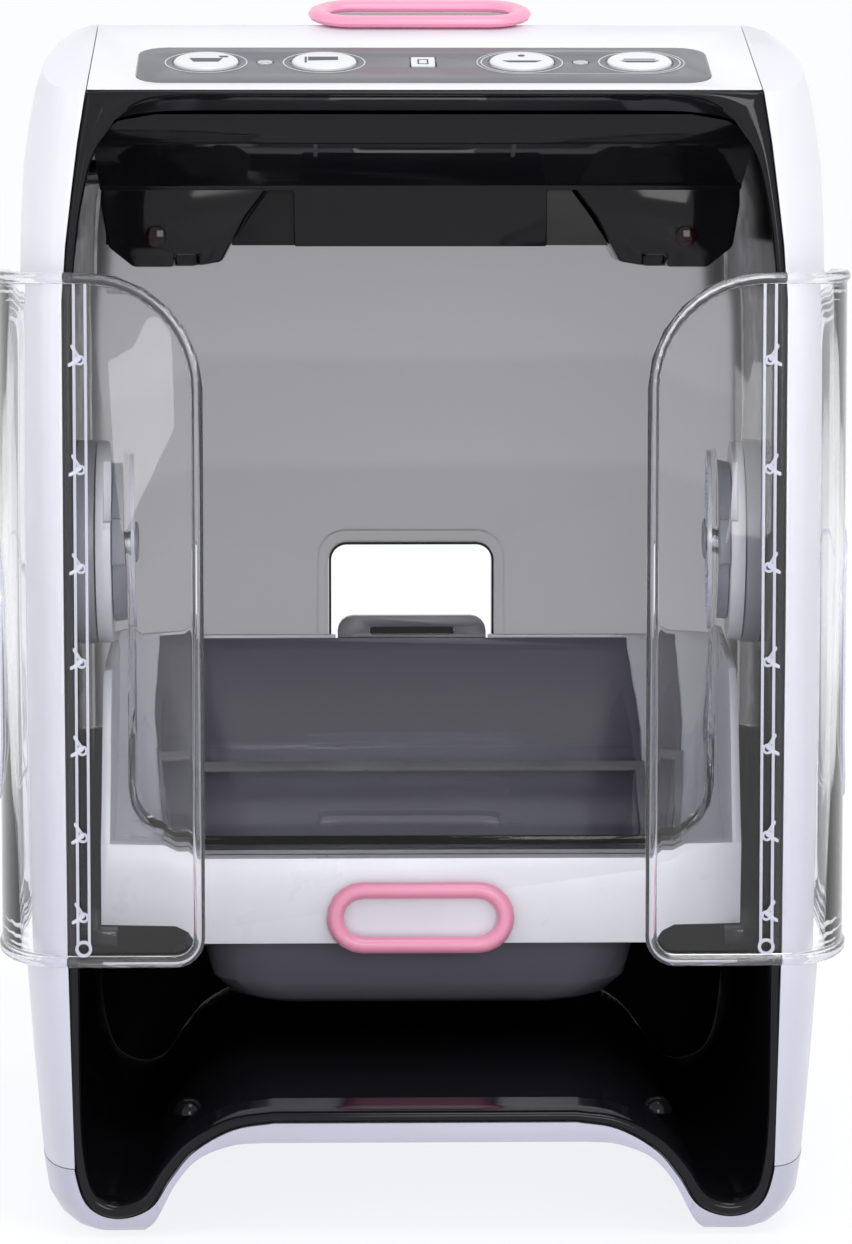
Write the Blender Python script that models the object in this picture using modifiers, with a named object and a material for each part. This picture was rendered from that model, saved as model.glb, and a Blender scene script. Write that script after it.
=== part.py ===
"""Automatic pet feeder: hooded walk-in housing, powered clear lid over a pull-out bowl tray.

Metres, +Z up, front faces -Y.  Lengths below are written in millimetres and scaled once by MM.
Depth positions are measured back from the front plane of the housing and turned into Y by yd().
"""
import math

import bmesh
import bpy
from mathutils import Vector

MM = 0.001
FRONT_Y = -145.0
DEPTH = 294.5
WALL = 2.5
GAP = 0.4
ROOF_Z = 349.3
FASCIA_Z0 = 328.6
FASCIA_ANGLE = math.radians(16.0)
FASCIA_LEN = 75.0
FASCIA_HALF = 95.4
HUB_D = 115.0
HUB_Z = 195.0
LID_R = 100.0
LID_FRONT = math.radians(-24.0)
LID_REAR = math.radians(40.0)
LID_HALF = 86.6
LID_WALL = 2.3
SWEEP_R = 102.6
TRAY_FRONT = 68.0
TRAY_HALF = 95.5
BOWL_HALF = 79.0
MODULE = 1.5
DRIVE_TEETH = 48
IDLER_TEETH = 44
PINION_TEETH = 12
GEAR_X0 = 107.5
GEAR_X1 = 110.7
REAR_PANEL_D = 219.5
PANEL_Z0 = 116.0

for old in list(bpy.data.objects):
    bpy.data.objects.remove(old, do_unlink=True)

scene = bpy.context.scene
parts = bpy.data.collections.new("pet_feeder")
scene.collection.children.link(parts)
cutters = bpy.data.collections.new("cutters")
scene.collection.children.link(cutters)


def yd(d):
    return d + FRONT_Y


def material(name, rgb, rough, metallic=0.0, transmission=0.0, coat=0.0):
    mat = bpy.data.materials.new(name)
    mat.use_nodes = True
    shader = mat.node_tree.nodes["Principled BSDF"]
    shader.inputs["Base Color"].default_value = (rgb[0], rgb[1], rgb[2], 1.0)
    shader.inputs["Roughness"].default_value = rough
    shader.inputs["Metallic"].default_value = metallic
    shader.inputs["Transmission Weight"].default_value = transmission
    shader.inputs["Coat Weight"].default_value = coat
    mat.diffuse_color = (rgb[0], rgb[1], rgb[2], 1.0)
    return mat


WHITE = material("shell_white", (0.83, 0.83, 0.86), 0.28, coat=0.3)
BLACK = material("smoke_black", (0.012, 0.012, 0.015), 0.10, coat=0.5)
FASCIA = material("fascia_white", (0.86, 0.86, 0.88), 0.32)
LABEL = material("label_grey", (0.20, 0.20, 0.22), 0.35)
BUTTON = material("button_white", (0.84, 0.85, 0.86), 0.3)
LENS = material("lens_clear", (0.75, 0.78, 0.80), 0.15, transmission=0.6)
PINK = material("ring_pink", (0.80, 0.22, 0.40), 0.35)
CLEAR = material("clear_plastic", (0.90, 0.91, 0.94), 0.04, transmission=0.95)
SMOKE = material("smoke_panel", (0.30, 0.29, 0.31), 0.08, transmission=0.7)
GREY = material("hub_grey", (0.33, 0.34, 0.38), 0.35)
TRAY = material("tray_white", (0.80, 0.80, 0.84), 0.3)
BOWL = material("bowl_grey", (0.13, 0.12, 0.15), 0.32)
RUBBER = material("rubber_dark", (0.03, 0.03, 0.03), 0.7)
SEAL = material("seal_grey", (0.35, 0.35, 0.37), 0.6)
STEEL = material("steel", (0.56, 0.57, 0.58), 0.3, metallic=1.0)
ACETAL = material("gear_white", (0.72, 0.70, 0.64), 0.4)
BOARD = material("board_green", (0.02, 0.14, 0.06), 0.45)
COPPER = material("coil_copper", (0.62, 0.26, 0.12), 0.35, metallic=1.0)
CELL = material("cell_jacket", (0.05, 0.06, 0.10), 0.3)
IR = material("sensor_dark", (0.06, 0.01, 0.02), 0.12)


def link(name, mesh, mat, is_cutter):
    obj = bpy.data.objects.new(name, mesh)
    if is_cutter:
        cutters.objects.link(obj)
        obj.hide_render = True
        obj.display_type = "WIRE"
    else:
        parts.objects.link(obj)
        mesh.materials.append(mat)
    return obj


def finish(name, bm, mat, smooth):
    bmesh.ops.recalc_face_normals(bm, faces=bm.faces)
    if bm.calc_volume(signed=True) < 0:
        bmesh.ops.reverse_faces(bm, faces=bm.faces)
    mesh = bpy.data.meshes.new(name)
    bm.to_mesh(mesh)
    bm.free()
    obj = link(name, mesh, mat, mat is None)
    if smooth:
        for poly in mesh.polygons:
            poly.use_smooth = True
        mesh.set_sharp_from_angle(angle=math.radians(smooth))
    return obj


def loft(name, rings, mat=None, smooth=0):
    """Closed body through rings of 3D points in millimetres, capped at both ends."""
    bm = bmesh.new()
    rows = []
    for ring in rings:
        rows.append([bm.verts.new((p[0] * MM, p[1] * MM, p[2] * MM)) for p in ring])
    count = len(rows[0])
    for low, high in zip(rows, rows[1:]):
        for i in range(count):
            j = (i + 1) % count
            bm.faces.new((low[i], low[j], high[j], high[i]))
    bm.faces.new(rows[0])
    bm.faces.new(rows[-1])
    return finish(name, bm, mat, smooth)


def place(pts, axis, at):
    """Put 2D points in the plane across an axis: x -> (y, z), y -> (x, z), z -> (x, y)."""
    if axis == "x":
        return [(at, a, b) for a, b in pts]
    if axis == "y":
        return [(a, at, b) for a, b in pts]
    return [(a, b, at) for a, b in pts]


def prism(name, pts, axis, lo, hi, mat=None, smooth=0):
    return loft(name, [place(pts, axis, lo), place(pts, axis, hi)], mat, smooth)


def box(name, x0, x1, d0, d1, z0, z1, mat=None):
    return prism(name, [(x0, z0), (x1, z0), (x1, z1), (x0, z1)], "y", yd(d0), yd(d1), mat)


def circle(radius, cx, cy, count=48, phase=0.0):
    step = 2.0 * math.pi / count
    return [(cx + radius * math.sin(phase + i * step), cy + radius * math.cos(phase + i * step))
            for i in range(count)]


def disc(name, radius, axis, cx, cy, lo, hi, mat=None, count=48, smooth=40):
    return prism(name, circle(radius, cx, cy, count), axis, lo, hi, mat, smooth)


def rounded(corners, count=6):
    """Polygon from (a, b, radius) corners with each corner turned into an arc."""
    out = []
    total = len(corners)
    for i, (a, b, radius) in enumerate(corners):
        here = Vector((a, b))
        if radius <= 0:
            out.append((a, b))
            continue
        back = (Vector(corners[i - 1][:2]) - here).normalized()
        ahead = (Vector(corners[(i + 1) % total][:2]) - here).normalized()
        half = 0.5 * back.angle(ahead)
        reach = radius / math.tan(half)
        centre = here + (back + ahead).normalized() * (radius / math.sin(half))
        start = here + back * reach - centre
        end = here + ahead * reach - centre
        a0 = math.atan2(start.y, start.x)
        turn = math.atan2(end.y, end.x) - a0
        turn = (turn + math.pi) % (2.0 * math.pi) - math.pi
        for k in range(count + 1):
            ang = a0 + turn * k / count
            out.append((centre.x + radius * math.cos(ang), centre.y + radius * math.sin(ang)))
    return out


def inset(pts, amount):
    """Move a polygon inwards (outwards when negative) along its corner bisectors."""
    area = sum(pts[i - 1][0] * pts[i][1] - pts[i][0] * pts[i - 1][1] for i in range(len(pts)))
    sign = 1.0 if area > 0 else -1.0
    out = []
    for i, here in enumerate(pts):
        before = Vector(here) - Vector(pts[i - 1])
        after = Vector(pts[(i + 1) % len(pts)]) - Vector(here)
        n1 = Vector((-before.y, before.x)).normalized() * sign
        n2 = Vector((-after.y, after.x)).normalized() * sign
        mid = (n1 + n2).normalized()
        grow = amount / max(0.5, mid.dot(n1))
        out.append((here[0] + mid.x * grow, here[1] + mid.y * grow))
    return out


def both_sides(half):
    """Close a right-hand half outline over the centre plane."""
    return [(x, z) for x, z in half] + [(-x, z) for x, z in reversed(half)]


def add_bevel(obj, width, segments=2, angle=35.0):
    mod = obj.modifiers.new("bevel", "BEVEL")
    mod.width = width * MM
    mod.segments = segments
    mod.limit_method = "ANGLE"
    mod.angle_limit = math.radians(angle)
    mod.use_clamp_overlap = True


def boolean(obj, tool, kind="DIFFERENCE"):
    mod = obj.modifiers.new("cut", "BOOLEAN")
    mod.operation = kind
    mod.solver = "EXACT"
    mod.object = tool


def stadium(half_w, half_h, count=10):
    """Pill outline centred on nothing, wide in the first axis."""
    out = []
    flat = half_w - half_h
    for side in (1, -1):
        for k in range(count + 1):
            ang = -0.5 * math.pi + math.pi * k / count
            out.append((side * (flat + half_h * math.cos(ang)), side * half_h * math.sin(ang)))
    return out


def frame_loop(name, outline, across, thick, mapping, mat, sides=10):
    """Ring of rounded section swept round an outline; across and thick are half sizes."""
    inner = inset(outline, across)
    bm = bmesh.new()
    rows = []
    for i, mid in enumerate(inner):
        out = Vector(outline[i]) - Vector(mid)
        row = []
        for k in range(sides):
            ang = 2.0 * math.pi * k / sides
            p = Vector(mid) + out * math.cos(ang)
            row.append(bm.verts.new(mapping(p.x, p.y, thick * math.sin(ang))))
        rows.append(row)
    for i, row in enumerate(rows):
        nxt = rows[(i + 1) % len(rows)]
        for k in range(sides):
            j = (k + 1) % sides
            bm.faces.new((row[k], row[j], nxt[j], nxt[k]))
    return finish(name, bm, mat, 50)


# ---------------------------------------------------------------- outlines
BEZEL_OUT = [(60.0, 328.6), (78.0, 328.6), (88.0, 328.6), (95.4, 328.4), (97.8, 314.0),
             (99.6, 300.0), (101.4, 285.0), (102.4, 270.0), (102.4, 180.0), (102.0, 79.0),
             (100.5, 19.0), (96.5, 8.8),
             (89.0, 5.6), (79.6, 8.5), (73.4, 17.4), (67.0, 25.0), (55.4, 31.6), (43.7, 33.6)]
BEZEL_IN = [(58.0, 327.3), (72.0, 327.0), (81.0, 325.2), (87.5, 320.6), (93.2, 311.6),
            (96.8, 298.0), (98.8, 284.0), (99.6, 270.0), (99.6, 180.0), (99.2, 79.0),
            (97.7, 21.0), (94.6, 12.2),
            (89.0, 9.6), (81.8, 11.6), (76.0, 19.9), (69.0, 27.7), (56.6, 34.6), (43.7, 36.6)]
LINER_OUT = [(60.0, 325.6), (76.0, 325.2), (88.0, 323.2), (97.0, 318.5), (102.4, 311.0),
             (105.0, 302.0), (106.4, 286.0), (106.7, 270.0), (106.7, 180.0), (106.4, 79.0),
             (104.5, 24.0), (99.2, 11.6),
             (90.0, 7.6), (80.8, 10.6), (74.6, 19.6), (67.8, 27.8), (56.0, 34.2), (43.7, 36.2)]
LINER_WALL = 2.2
LINER_IN = inset(both_sides(LINER_OUT), LINER_WALL)
ARCH = [(46.9, 27.6), (55.4, 26.9), (65.4, 22.9), (71.7, 16.0), (78.0, 4.3), (82.0, -0.5),
        (83.0, -6.0)]


def plan(half, cx, cy, d0, d1, z, count=10):
    """Horizontal section of the hood: straight sides with elliptical plan corners."""
    ring = []
    quads = ((1, -1), (1, 1), (-1, 1), (-1, -1))
    for n, (sx, sy) in enumerate(quads):
        mid_d = d0 + cy if sy < 0 else d1 - cy
        for k in range(count + 1):
            t = 0.5 * math.pi * k / count
            if n % 2:
                t = 0.5 * math.pi - t
            x = sx * (half - cx + cx * math.sin(t))
            d = mid_d + sy * cy * math.cos(t)
            ring.append((x, yd(d), z))
    return ring


HOOD = [(20.3, 111.8, 11.2, 38, 0.0), (50.0, 114.6, 12.4, 40, 0.0), (80.0, 116.8, 14.2, 40, 0.0),
        (180.0, 117.0, 14.4, 40, 0.0), (270.0, 117.0, 14.4, 40, 0.0), (292.0, 116.5, 14.6, 40, 0.2),
        (308.0, 115.6, 15.6, 40, 0.8), (320.0, 113.9, 15.6, 40, 2.0), (330.0, 111.8, 14.8, 38, 4.0),
        (338.0, 109.0, 12.4, 35, 6.5), (344.0, 105.8, 10.6, 32, 9.5), (347.6, 102.0, 9.0, 28, 13.0),
        (349.3, 97.4, 8.0, 24, 17.0)]


def hood_rings(t, z_low, z_top):
    rings = []
    for z, half, cx, cy, rear in HOOD:
        zz = z_low if z == HOOD[0][0] else min(z, z_top)
        if z >= ROOF_Z:
            zz = z_top
        elif z > 344.0 and t > 0:
            continue
        rings.append(plan(half - t, cx, cy, t, DEPTH - rear - t, zz))
    return rings


def slope_z(d, drop=0.0):
    return FASCIA_Z0 + d * math.tan(FASCIA_ANGLE) - drop


def slope_cutter(name, drop):
    """Everything above the sloping fascia plane, out to where it meets the flat roof."""
    end = (ROOF_Z - FASCIA_Z0) / math.tan(FASCIA_ANGLE)
    pts = [(yd(-12), slope_z(-12, drop)), (yd(end), slope_z(end, drop)), (yd(end), 420.0),
           (yd(-12), 420.0)]
    return prism(name, pts, "x", -160, 160)


def on_fascia(x, s, n=0.0):
    """Point in mm from fascia coordinates: x across, s up the slope, n out of the surface."""
    d = s * math.cos(FASCIA_ANGLE) - n * math.sin(FASCIA_ANGLE)
    z = FASCIA_Z0 + s * math.sin(FASCIA_ANGLE) + n * math.cos(FASCIA_ANGLE)
    return (x, yd(d), z)


def slab(name, outline, n0, n1, mat=None, smooth=0):
    """Plate lying in the fascia plane between two heights along its normal."""
    return loft(name, [[on_fascia(x, s, n0) for x, s in outline],
                       [on_fascia(x, s, n1) for x, s in outline]], mat, smooth)


def rect(x0, x1, s0, s1, radius, count=5):
    return rounded([(x0, s0, radius), (x1, s0, radius), (x1, s1, radius), (x0, s1, radius)], count)


# ---------------------------------------------------------------- hood, base and bezels
hood = loft("hood_shell", hood_rings(0.0, 20.3, ROOF_Z), WHITE, 32)
boolean(hood, slope_cutter("hood_slope_cut", 0.0))
cavity = loft("hood_cavity_cut", hood_rings(WALL, 15.0, ROOF_Z - WALL))
boolean(cavity, slope_cutter("cavity_slope_cut", 2.8))
boolean(hood, cavity)
mouth = inset(both_sides(BEZEL_OUT), -GAP)
boolean(hood, prism("hood_front_cut", mouth, "y", yd(-6), yd(14)))
boolean(hood, prism("hood_rear_cut", mouth, "y", yd(DEPTH - 24), yd(DEPTH + 6)))
for tag, d in (("front", -6), ("rear", DEPTH - 14)):
    boolean(hood, box("hood_step_" + tag, -90, 90, d, d + 20, 10, 60))
boolean(hood, slab("hood_fascia_cut", rect(-95.7, 95.7, -12.0, FASCIA_LEN + 0.3, 0), -6, 6))
HATCH = (-62.0, 62.0, 78.0, 158.0)
boolean(hood, prism("hood_hatch_cut", rounded([(HATCH[0] - 0.4, yd(HATCH[2] - 0.4), 8.4),
                                               (HATCH[1] + 0.4, yd(HATCH[2] - 0.4), 8.4),
                                               (HATCH[1] + 0.4, yd(HATCH[3] + 0.4), 8.4),
                                               (HATCH[0] - 0.4, yd(HATCH[3] + 0.4), 8.4)]),
                    "z", 338, 356))

BASE = [(1.0, 101.0, 9.0, 30, 6.0), (2.6, 104.4, 9.6, 34, 3.2), (5.5, 107.6, 10.4, 36, 1.2),
        (10.0, 110.4, 11.2, 38, 0.2), (20.0, 111.9, 11.3, 38, 0.0)]
base = loft("base_tray", [plan(h, cx, cy, f, DEPTH - f, z) for z, h, cx, cy, f in BASE], WHITE, 32)
boolean(base, box("base_bridge", -77, 77, 0.0, DEPTH, 8.0, 34.0), "UNION")
inner = [(4.0, 102.2, 9.0, 30, 8.0), (10.0, 106.6, 11.0, 36, 5.0), (44.0, 109.3, 11.2, 36, 5.0)]
base_pocket = loft("base_pocket_cut", [plan(h, cx, cy, f, DEPTH - f, z) for z, h, cx, cy, f in inner])
arch_wall = both_sides([(46.9, 30.2), (56.2, 29.4), (67.0, 25.0), (73.8, 17.4), (80.2, 6.0),
                        (81.2, 1.0)])
boolean(base_pocket, prism("base_arch_keep", arch_wall, "y", yd(-20), yd(DEPTH + 20)))
boolean(base, base_pocket)
flare = inset(both_sides(BEZEL_OUT), -2.5)
for tag, sign, start in (("front", 1, 0.0), ("rear", -1, DEPTH)):
    rows = [place(mouth, "y", yd(start - sign * 6.0)), place(mouth, "y", yd(start + sign * 2.6)),
            place(flare, "y", yd(start + sign * 9.0)), place(flare, "y", yd(start + sign * 13.0))]
    boolean(base, loft("base_mouth_" + tag, rows))
boolean(base, prism("base_arch_cut", both_sides(ARCH), "y", yd(-20), yd(DEPTH + 20)))


def bezel(name, flip):
    """Gloss ring round the tunnel mouth, flaring back to meet the liner."""
    def at(outline, d):
        return place(both_sides(outline), "y", yd(DEPTH - d if flip else d))

    def mix(a, b, t):
        return [(p[0] + (q[0] - p[0]) * t, p[1] + (q[1] - p[1]) * t) for p, q in zip(a, b)]

    lining = LINER_IN[:len(LINER_OUT)]
    rows = [at(BEZEL_OUT, 0.5), at(BEZEL_OUT, 5.0), at(mix(BEZEL_OUT, LINER_OUT, 0.72), 11.6),
            at(lining, 11.6), at(mix(BEZEL_IN, lining, 0.4), 6.0), at(BEZEL_IN, 1.0),
            at(mix(BEZEL_OUT, BEZEL_IN, 0.5), 0.0)]
    bm = bmesh.new()
    rings = [[bm.verts.new((p[0] * MM, p[1] * MM, p[2] * MM)) for p in row] for row in rows]
    for a, b in zip(rings, rings[1:] + rings[:1]):
        for i in range(len(a)):
            j = (i + 1) % len(a)
            bm.faces.new((a[i], a[j], b[j], b[i]))
    return finish(name, bm, BLACK, 30)


bezel("front_bezel", False)
bezel("rear_bezel", True)

liner = prism("tunnel_liner", both_sides(LINER_OUT), "y", yd(12.0), yd(DEPTH - 12.0), BLACK, 30)
boolean(liner, prism("liner_bore", LINER_IN, "y", yd(-2), yd(DEPTH + 2)))
boolean(liner, disc("liner_hub_holes", 7.0, "x", yd(HUB_D), HUB_Z, -125, 125, count=32))
MOTOR_Z = HUB_Z + 0.5 * MODULE * (DRIVE_TEETH + 2 * IDLER_TEETH + PINION_TEETH)
IDLER_Z = HUB_Z + 0.5 * MODULE * (DRIVE_TEETH + IDLER_TEETH)
boolean(liner, disc("liner_motor_hole", 4.5, "x", yd(HUB_D), MOTOR_Z, -125, -90, count=24))

# ---------------------------------------------------------------- ceiling housing and sensor pods
ceiling = prism("ceiling_housing", [(yd(16), 322.4), (yd(22), 314.0), (yd(33), 310.6),
                                    (yd(60), 302.0), (yd(66), 284.0), (yd(212), 284.0),
                                    (yd(214), 322.4)], "x", -95, 95, BLACK, 20)
keep_in = inset(both_sides(LINER_OUT), LINER_WALL + 0.5)
boolean(ceiling, prism("ceiling_trim", keep_in, "y", yd(0), yd(230)), "INTERSECT")
boolean(ceiling, prism("ceiling_hollow", [(yd(102.8), 320.0), (yd(102.8), 286.4),
                                          (yd(208), 286.4), (yd(209), 320.0)], "x", -90, 90))
for side, tag in ((-1, "left"), (1, "right")):
    boolean(ceiling, box("ceiling_pod_" + tag, *sorted((side * 37.4, side * 97.0)), 60.5, 100.5,
                         276.0, 311.4))
boolean(ceiling, disc("ceiling_motor_hole", 4.6, "x", yd(HUB_D), MOTOR_Z, -110, -88, count=32))
for side, tag in ((-1, "left"), (1, "right")):
    pod_pts = [(38.2, 310.8), (52.0, 293.0), (59.0, 279.6), (68.0, 278.0), (85.0, 278.0),
               (92.5, 284.0), (94.5, 296.0), (94.5, 310.8)]
    pod = prism("sensor_pod_" + tag, [(side * x, z) for x, z in pod_pts], "y", yd(61), yd(100),
                BLACK, 20)
    boolean(pod, box("pod_notch_" + tag, *sorted((side * 66.0, side * 73.0)), 55, 76, 270, 281.6))
    add_bevel(pod, 0.9, 2)
    prism("sensor_lens_" + tag, circle(3.0, side * 78.5, 287.0, 24), "y", yd(59.2), yd(60.7), IR, 40)

# ---------------------------------------------------------------- control fascia, keys and lights
fascia = slab("control_fascia", rect(-FASCIA_HALF, FASCIA_HALF, 1.6, FASCIA_LEN, 1.0, 3), -2.5, 0.0,
              FASCIA)
boolean(fascia, prism("fascia_lap_cut", [(yd(-5), 320.0), (yd(-5), 328.95), (yd(5.4), 328.95),
                                         (yd(14.0), 326.4), (yd(14.0), 320.0)], "x", -110, 110))
LABEL_RECT = rect(-82.0, 82.0, 9.0, 49.0, 8.0)
boolean(fascia, slab("label_recess", inset(LABEL_RECT, -0.3), -0.55, 4))
label = slab("control_label", LABEL_RECT, -0.45, -0.05, LABEL)
KEY_S = 32.0
KEYS = (("key_pet", -62.5), ("key_training", -28.5), ("key_open", 28.5), ("key_close", 62.5))
for name, x in KEYS:
    ring = circle(9.9, x, KEY_S, 32)
    boolean(fascia, slab(name + "_hole", ring, -6, 4))
    boolean(label, slab(name + "_window", ring, -6, 4))
    rows = []
    for radius, n in ((2.6, -5.6), (2.6, -3.0), (9.3, -3.0), (9.3, 0.3), (8.7, 0.8)):
        rows.append([on_fascia(a, s, n) for a, s in circle(radius, x, KEY_S, 32)])
    loft(name, rows, BUTTON, 35)
for name, x in (("status_light_left", -45.5), ("status_light_right", 45.5)):
    boolean(fascia, slab(name + "_hole", circle(2.6, x, KEY_S, 20), -6, 4))
    boolean(label, slab(name + "_window", circle(2.6, x, KEY_S, 20), -6, 4))
    slab(name, circle(2.25, x, KEY_S, 20), -3.0, 0.1, LENS, 35)
boolean(fascia, slab("battery_window_hole", rect(-3.9, 3.9, 26.4, 38.0, 0.8, 2), -6, 4))
boolean(label, slab("battery_window_cut", rect(-3.9, 3.9, 26.4, 38.0, 0.8, 2), -6, 4))
slab("battery_window", rect(-3.5, 3.5, 26.8, 37.6, 0.6, 2), -3.0, 0.0, LENS)
slab("circuit_board", rect(-80.0, 80.0, 21.0, 66.0, 2.0, 3), -8.4, -6.9, BOARD)

# ---------------------------------------------------------------- battery hatch, ring and cells
hatch = prism("battery_hatch", rounded([(HATCH[0], yd(HATCH[2]), 8.0), (HATCH[1], yd(HATCH[2]), 8.0),
                                        (HATCH[1], yd(HATCH[3]), 8.0), (HATCH[0], yd(HATCH[3]), 8.0)]),
              "z", 346.9, 349.6, WHITE, 30)
RING_S = 82.0
RING_LIFT = 1.85
PAD_OUT = rounded([(29.0, 81.0, 5.0), (29.0, 93.0, 5.5), (-29.0, 93.0, 5.5), (-29.0, 81.0, 5.0)])
pad = loft("hatch_pad", [[(x, yd(s * math.cos(FASCIA_ANGLE) + 3.0), 348.0) for x, s in PAD_OUT],
                         [on_fascia(x, s, -0.5) for x, s in PAD_OUT]])
boolean(hatch, pad, "UNION")


def fascia_map(x, s, n):
    p = on_fascia(x, s + RING_S, n + RING_LIFT)
    return (p[0] * MM, p[1] * MM, p[2] * MM)


frame_loop("grip_ring_top", stadium(33.3, 12.6, 10), 3.1, 1.75, fascia_map, PINK)
battery_tray = box("battery_tray", -35, 35, 82, 150, 327.0, 344.5, GREY)
boolean(battery_tray, box("battery_tray_hollow", -33, 33, 84, 148, 329.0, 350.0))
for i in range(4):
    disc("cell_%d" % (i + 1), 7.1, "x", yd(92.2 + 15.9 * i), 336.6, -27.0, 27.0, CELL, 20)
for side, tag in ((-1, "left"), (1, "right")):
    box("cell_contact_" + tag, *sorted((side * 29.6, side * 30.4)), 86, 146, 330.5, 342.0, STEEL)


def coil_map(a, b, n):
    return (a * MM, yd(b + 166.0) * MM, (291.0 + n) * MM)


frame_loop("antenna_coil", rect(-56.0, 56.0, -30.0, 30.0, 10.0, 4), 1.6, 1.6, coil_map, COPPER, 8)

# ---------------------------------------------------------------- lid drive
def gear(name, teeth, cz, phase, mat, bore, hub=0.0):
    """Spur gear across X with narrow teeth so that meshing pairs never touch."""
    pitch_r = 0.5 * MODULE * teeth
    step = 2.0 * math.pi / teeth
    pts = []
    for i in range(teeth):
        mid = phase + i * step
        for off, radius in ((-0.27, pitch_r - 1.15 * MODULE), (-0.11, pitch_r + 0.72 * MODULE),
                            (0.11, pitch_r + 0.72 * MODULE), (0.27, pitch_r - 1.15 * MODULE)):
            ang = mid + off * step
            pts.append((yd(HUB_D) + radius * math.sin(ang), cz + radius * math.cos(ang)))
    obj = prism(name, pts, "x", -GEAR_X1, -GEAR_X0, mat, 20)
    boolean(obj, disc(name + "_bore", bore, "x", yd(HUB_D), cz, -125, -100, count=24))
    return obj


gear("drive_gear", DRIVE_TEETH, HUB_Z, 0.0, ACETAL, 4.5)
gear("idler_gear", IDLER_TEETH, IDLER_Z, math.pi / IDLER_TEETH, ACETAL, 2.9)
gear("motor_pinion", PINION_TEETH, MOTOR_Z, 0.0, ACETAL, 2.0)
disc("idler_shaft", 2.5, "x", yd(HUB_D), IDLER_Z, -113.6, -107.1, STEEL, 20)
rows = []
for radius, x in ((1.6, -110.4), (1.6, -107.0), (3.8, -107.0), (3.8, -89.4), (11.4, -89.4),
                  (11.4, -52.0), (9.5, -50.5)):
    rows.append(place(circle(radius, yd(HUB_D), MOTOR_Z, 24), "x", x))
loft("gear_motor", rows, STEEL, 30)

# ---------------------------------------------------------------- hubs
for side, tag in ((-1, "left"), (1, "right")):
    def span(lo, hi):
        return sorted((side * lo, side * hi))

    hub_y = yd(HUB_D)
    flange = disc("bearing_flange_" + tag, 34.5, "x", hub_y, HUB_Z, *span(97.8, 104.1), GREY, 56)
    boolean(flange, disc("flange_bore_" + tag, 5.2, "x", hub_y, HUB_Z, -125, 125, count=24))
    boolean(flange, disc("flange_groove_" + tag, 31.0, "x", hub_y, HUB_Z, *span(90, 100.0), count=48))
    plate = disc("hub_disc_" + tag, 34.3, "x", hub_y, HUB_Z, *span(92.2, 97.2), TRAY, 56)
    boolean(plate, disc("hub_disc_bore_" + tag, 4.4, "x", hub_y, HUB_Z, -125, 125, count=24))
    step_cut = prism("hub_step_" + tag, [(hub_y - 40, HUB_Z + 8), (hub_y - 24, HUB_Z + 8),
                                         (hub_y - 18, HUB_Z + 40), (hub_y - 40, HUB_Z + 40)],
                     "x", *span(91, 94.6))
    boolean(plate, step_cut)
    boss = disc("hub_boss_" + tag, 27.5, "x", hub_y, HUB_Z, *span(87.2, 91.8), GREY, 48)
    boolean(boss, disc("hub_boss_bore_" + tag, 4.4, "x", hub_y, HUB_Z, -125, 125, count=24))
    lug = prism("hub_lug_" + tag, [(hub_y - 33.0, HUB_Z - 6), (hub_y - 20, HUB_Z - 6),
                                   (hub_y - 20, HUB_Z + 9), (hub_y - 31.0, HUB_Z + 9)],
                "x", *span(87.2, 91.8))
    boolean(boss, lug, "UNION")
    end = 111.6 if side < 0 else 107.6
    disc("hinge_pin_" + tag, 4.0, "x", hub_y, HUB_Z, *span(82.6, end), STEEL, 24)


# ---------------------------------------------------------------- swing lid
def arc(radius, a0, a1, count):
    """Points in (y, z) on a circle about the hub axis; angles run from straight down to the rear."""
    return [(yd(HUB_D + radius * math.sin(a0 + (a1 - a0) * k / count)),
             HUB_Z - radius * math.cos(a0 + (a1 - a0) * k / count)) for k in range(count + 1)]


def lid_profile(radius, hub_r):
    pts = arc(radius, LID_FRONT, LID_REAR, 14)
    pts += arc(hub_r, math.radians(92), math.radians(268), 16)
    return pts


def soft_prism(name, pts, x0, x1, soft, mat=None):
    """Prism across X whose long lower edges are rounded by shrinking the end sections."""
    rings = []
    for k in range(5):
        t = 0.5 * math.pi * k / 4
        rings.append(place(shrink(pts, soft * (1 - math.sin(t))), "x", x0 + soft * (1 - math.cos(t))))
    for k in range(4, -1, -1):
        t = 0.5 * math.pi * k / 4
        rings.append(place(shrink(pts, soft * (1 - math.sin(t))), "x", x1 - soft * (1 - math.cos(t))))
    return loft(name, rings, mat, 40)


def shrink(pts, amount):
    """Pull points towards the hub axis so that the outer arc radius drops by an amount."""
    out = []
    for y, z in pts:
        v = Vector((y - yd(HUB_D), z - HUB_Z))
        if v.length > 60:
            v = v * ((v.length - amount) / v.length)
        out.append((yd(HUB_D) + v.x, HUB_Z + v.y))
    return out


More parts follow.
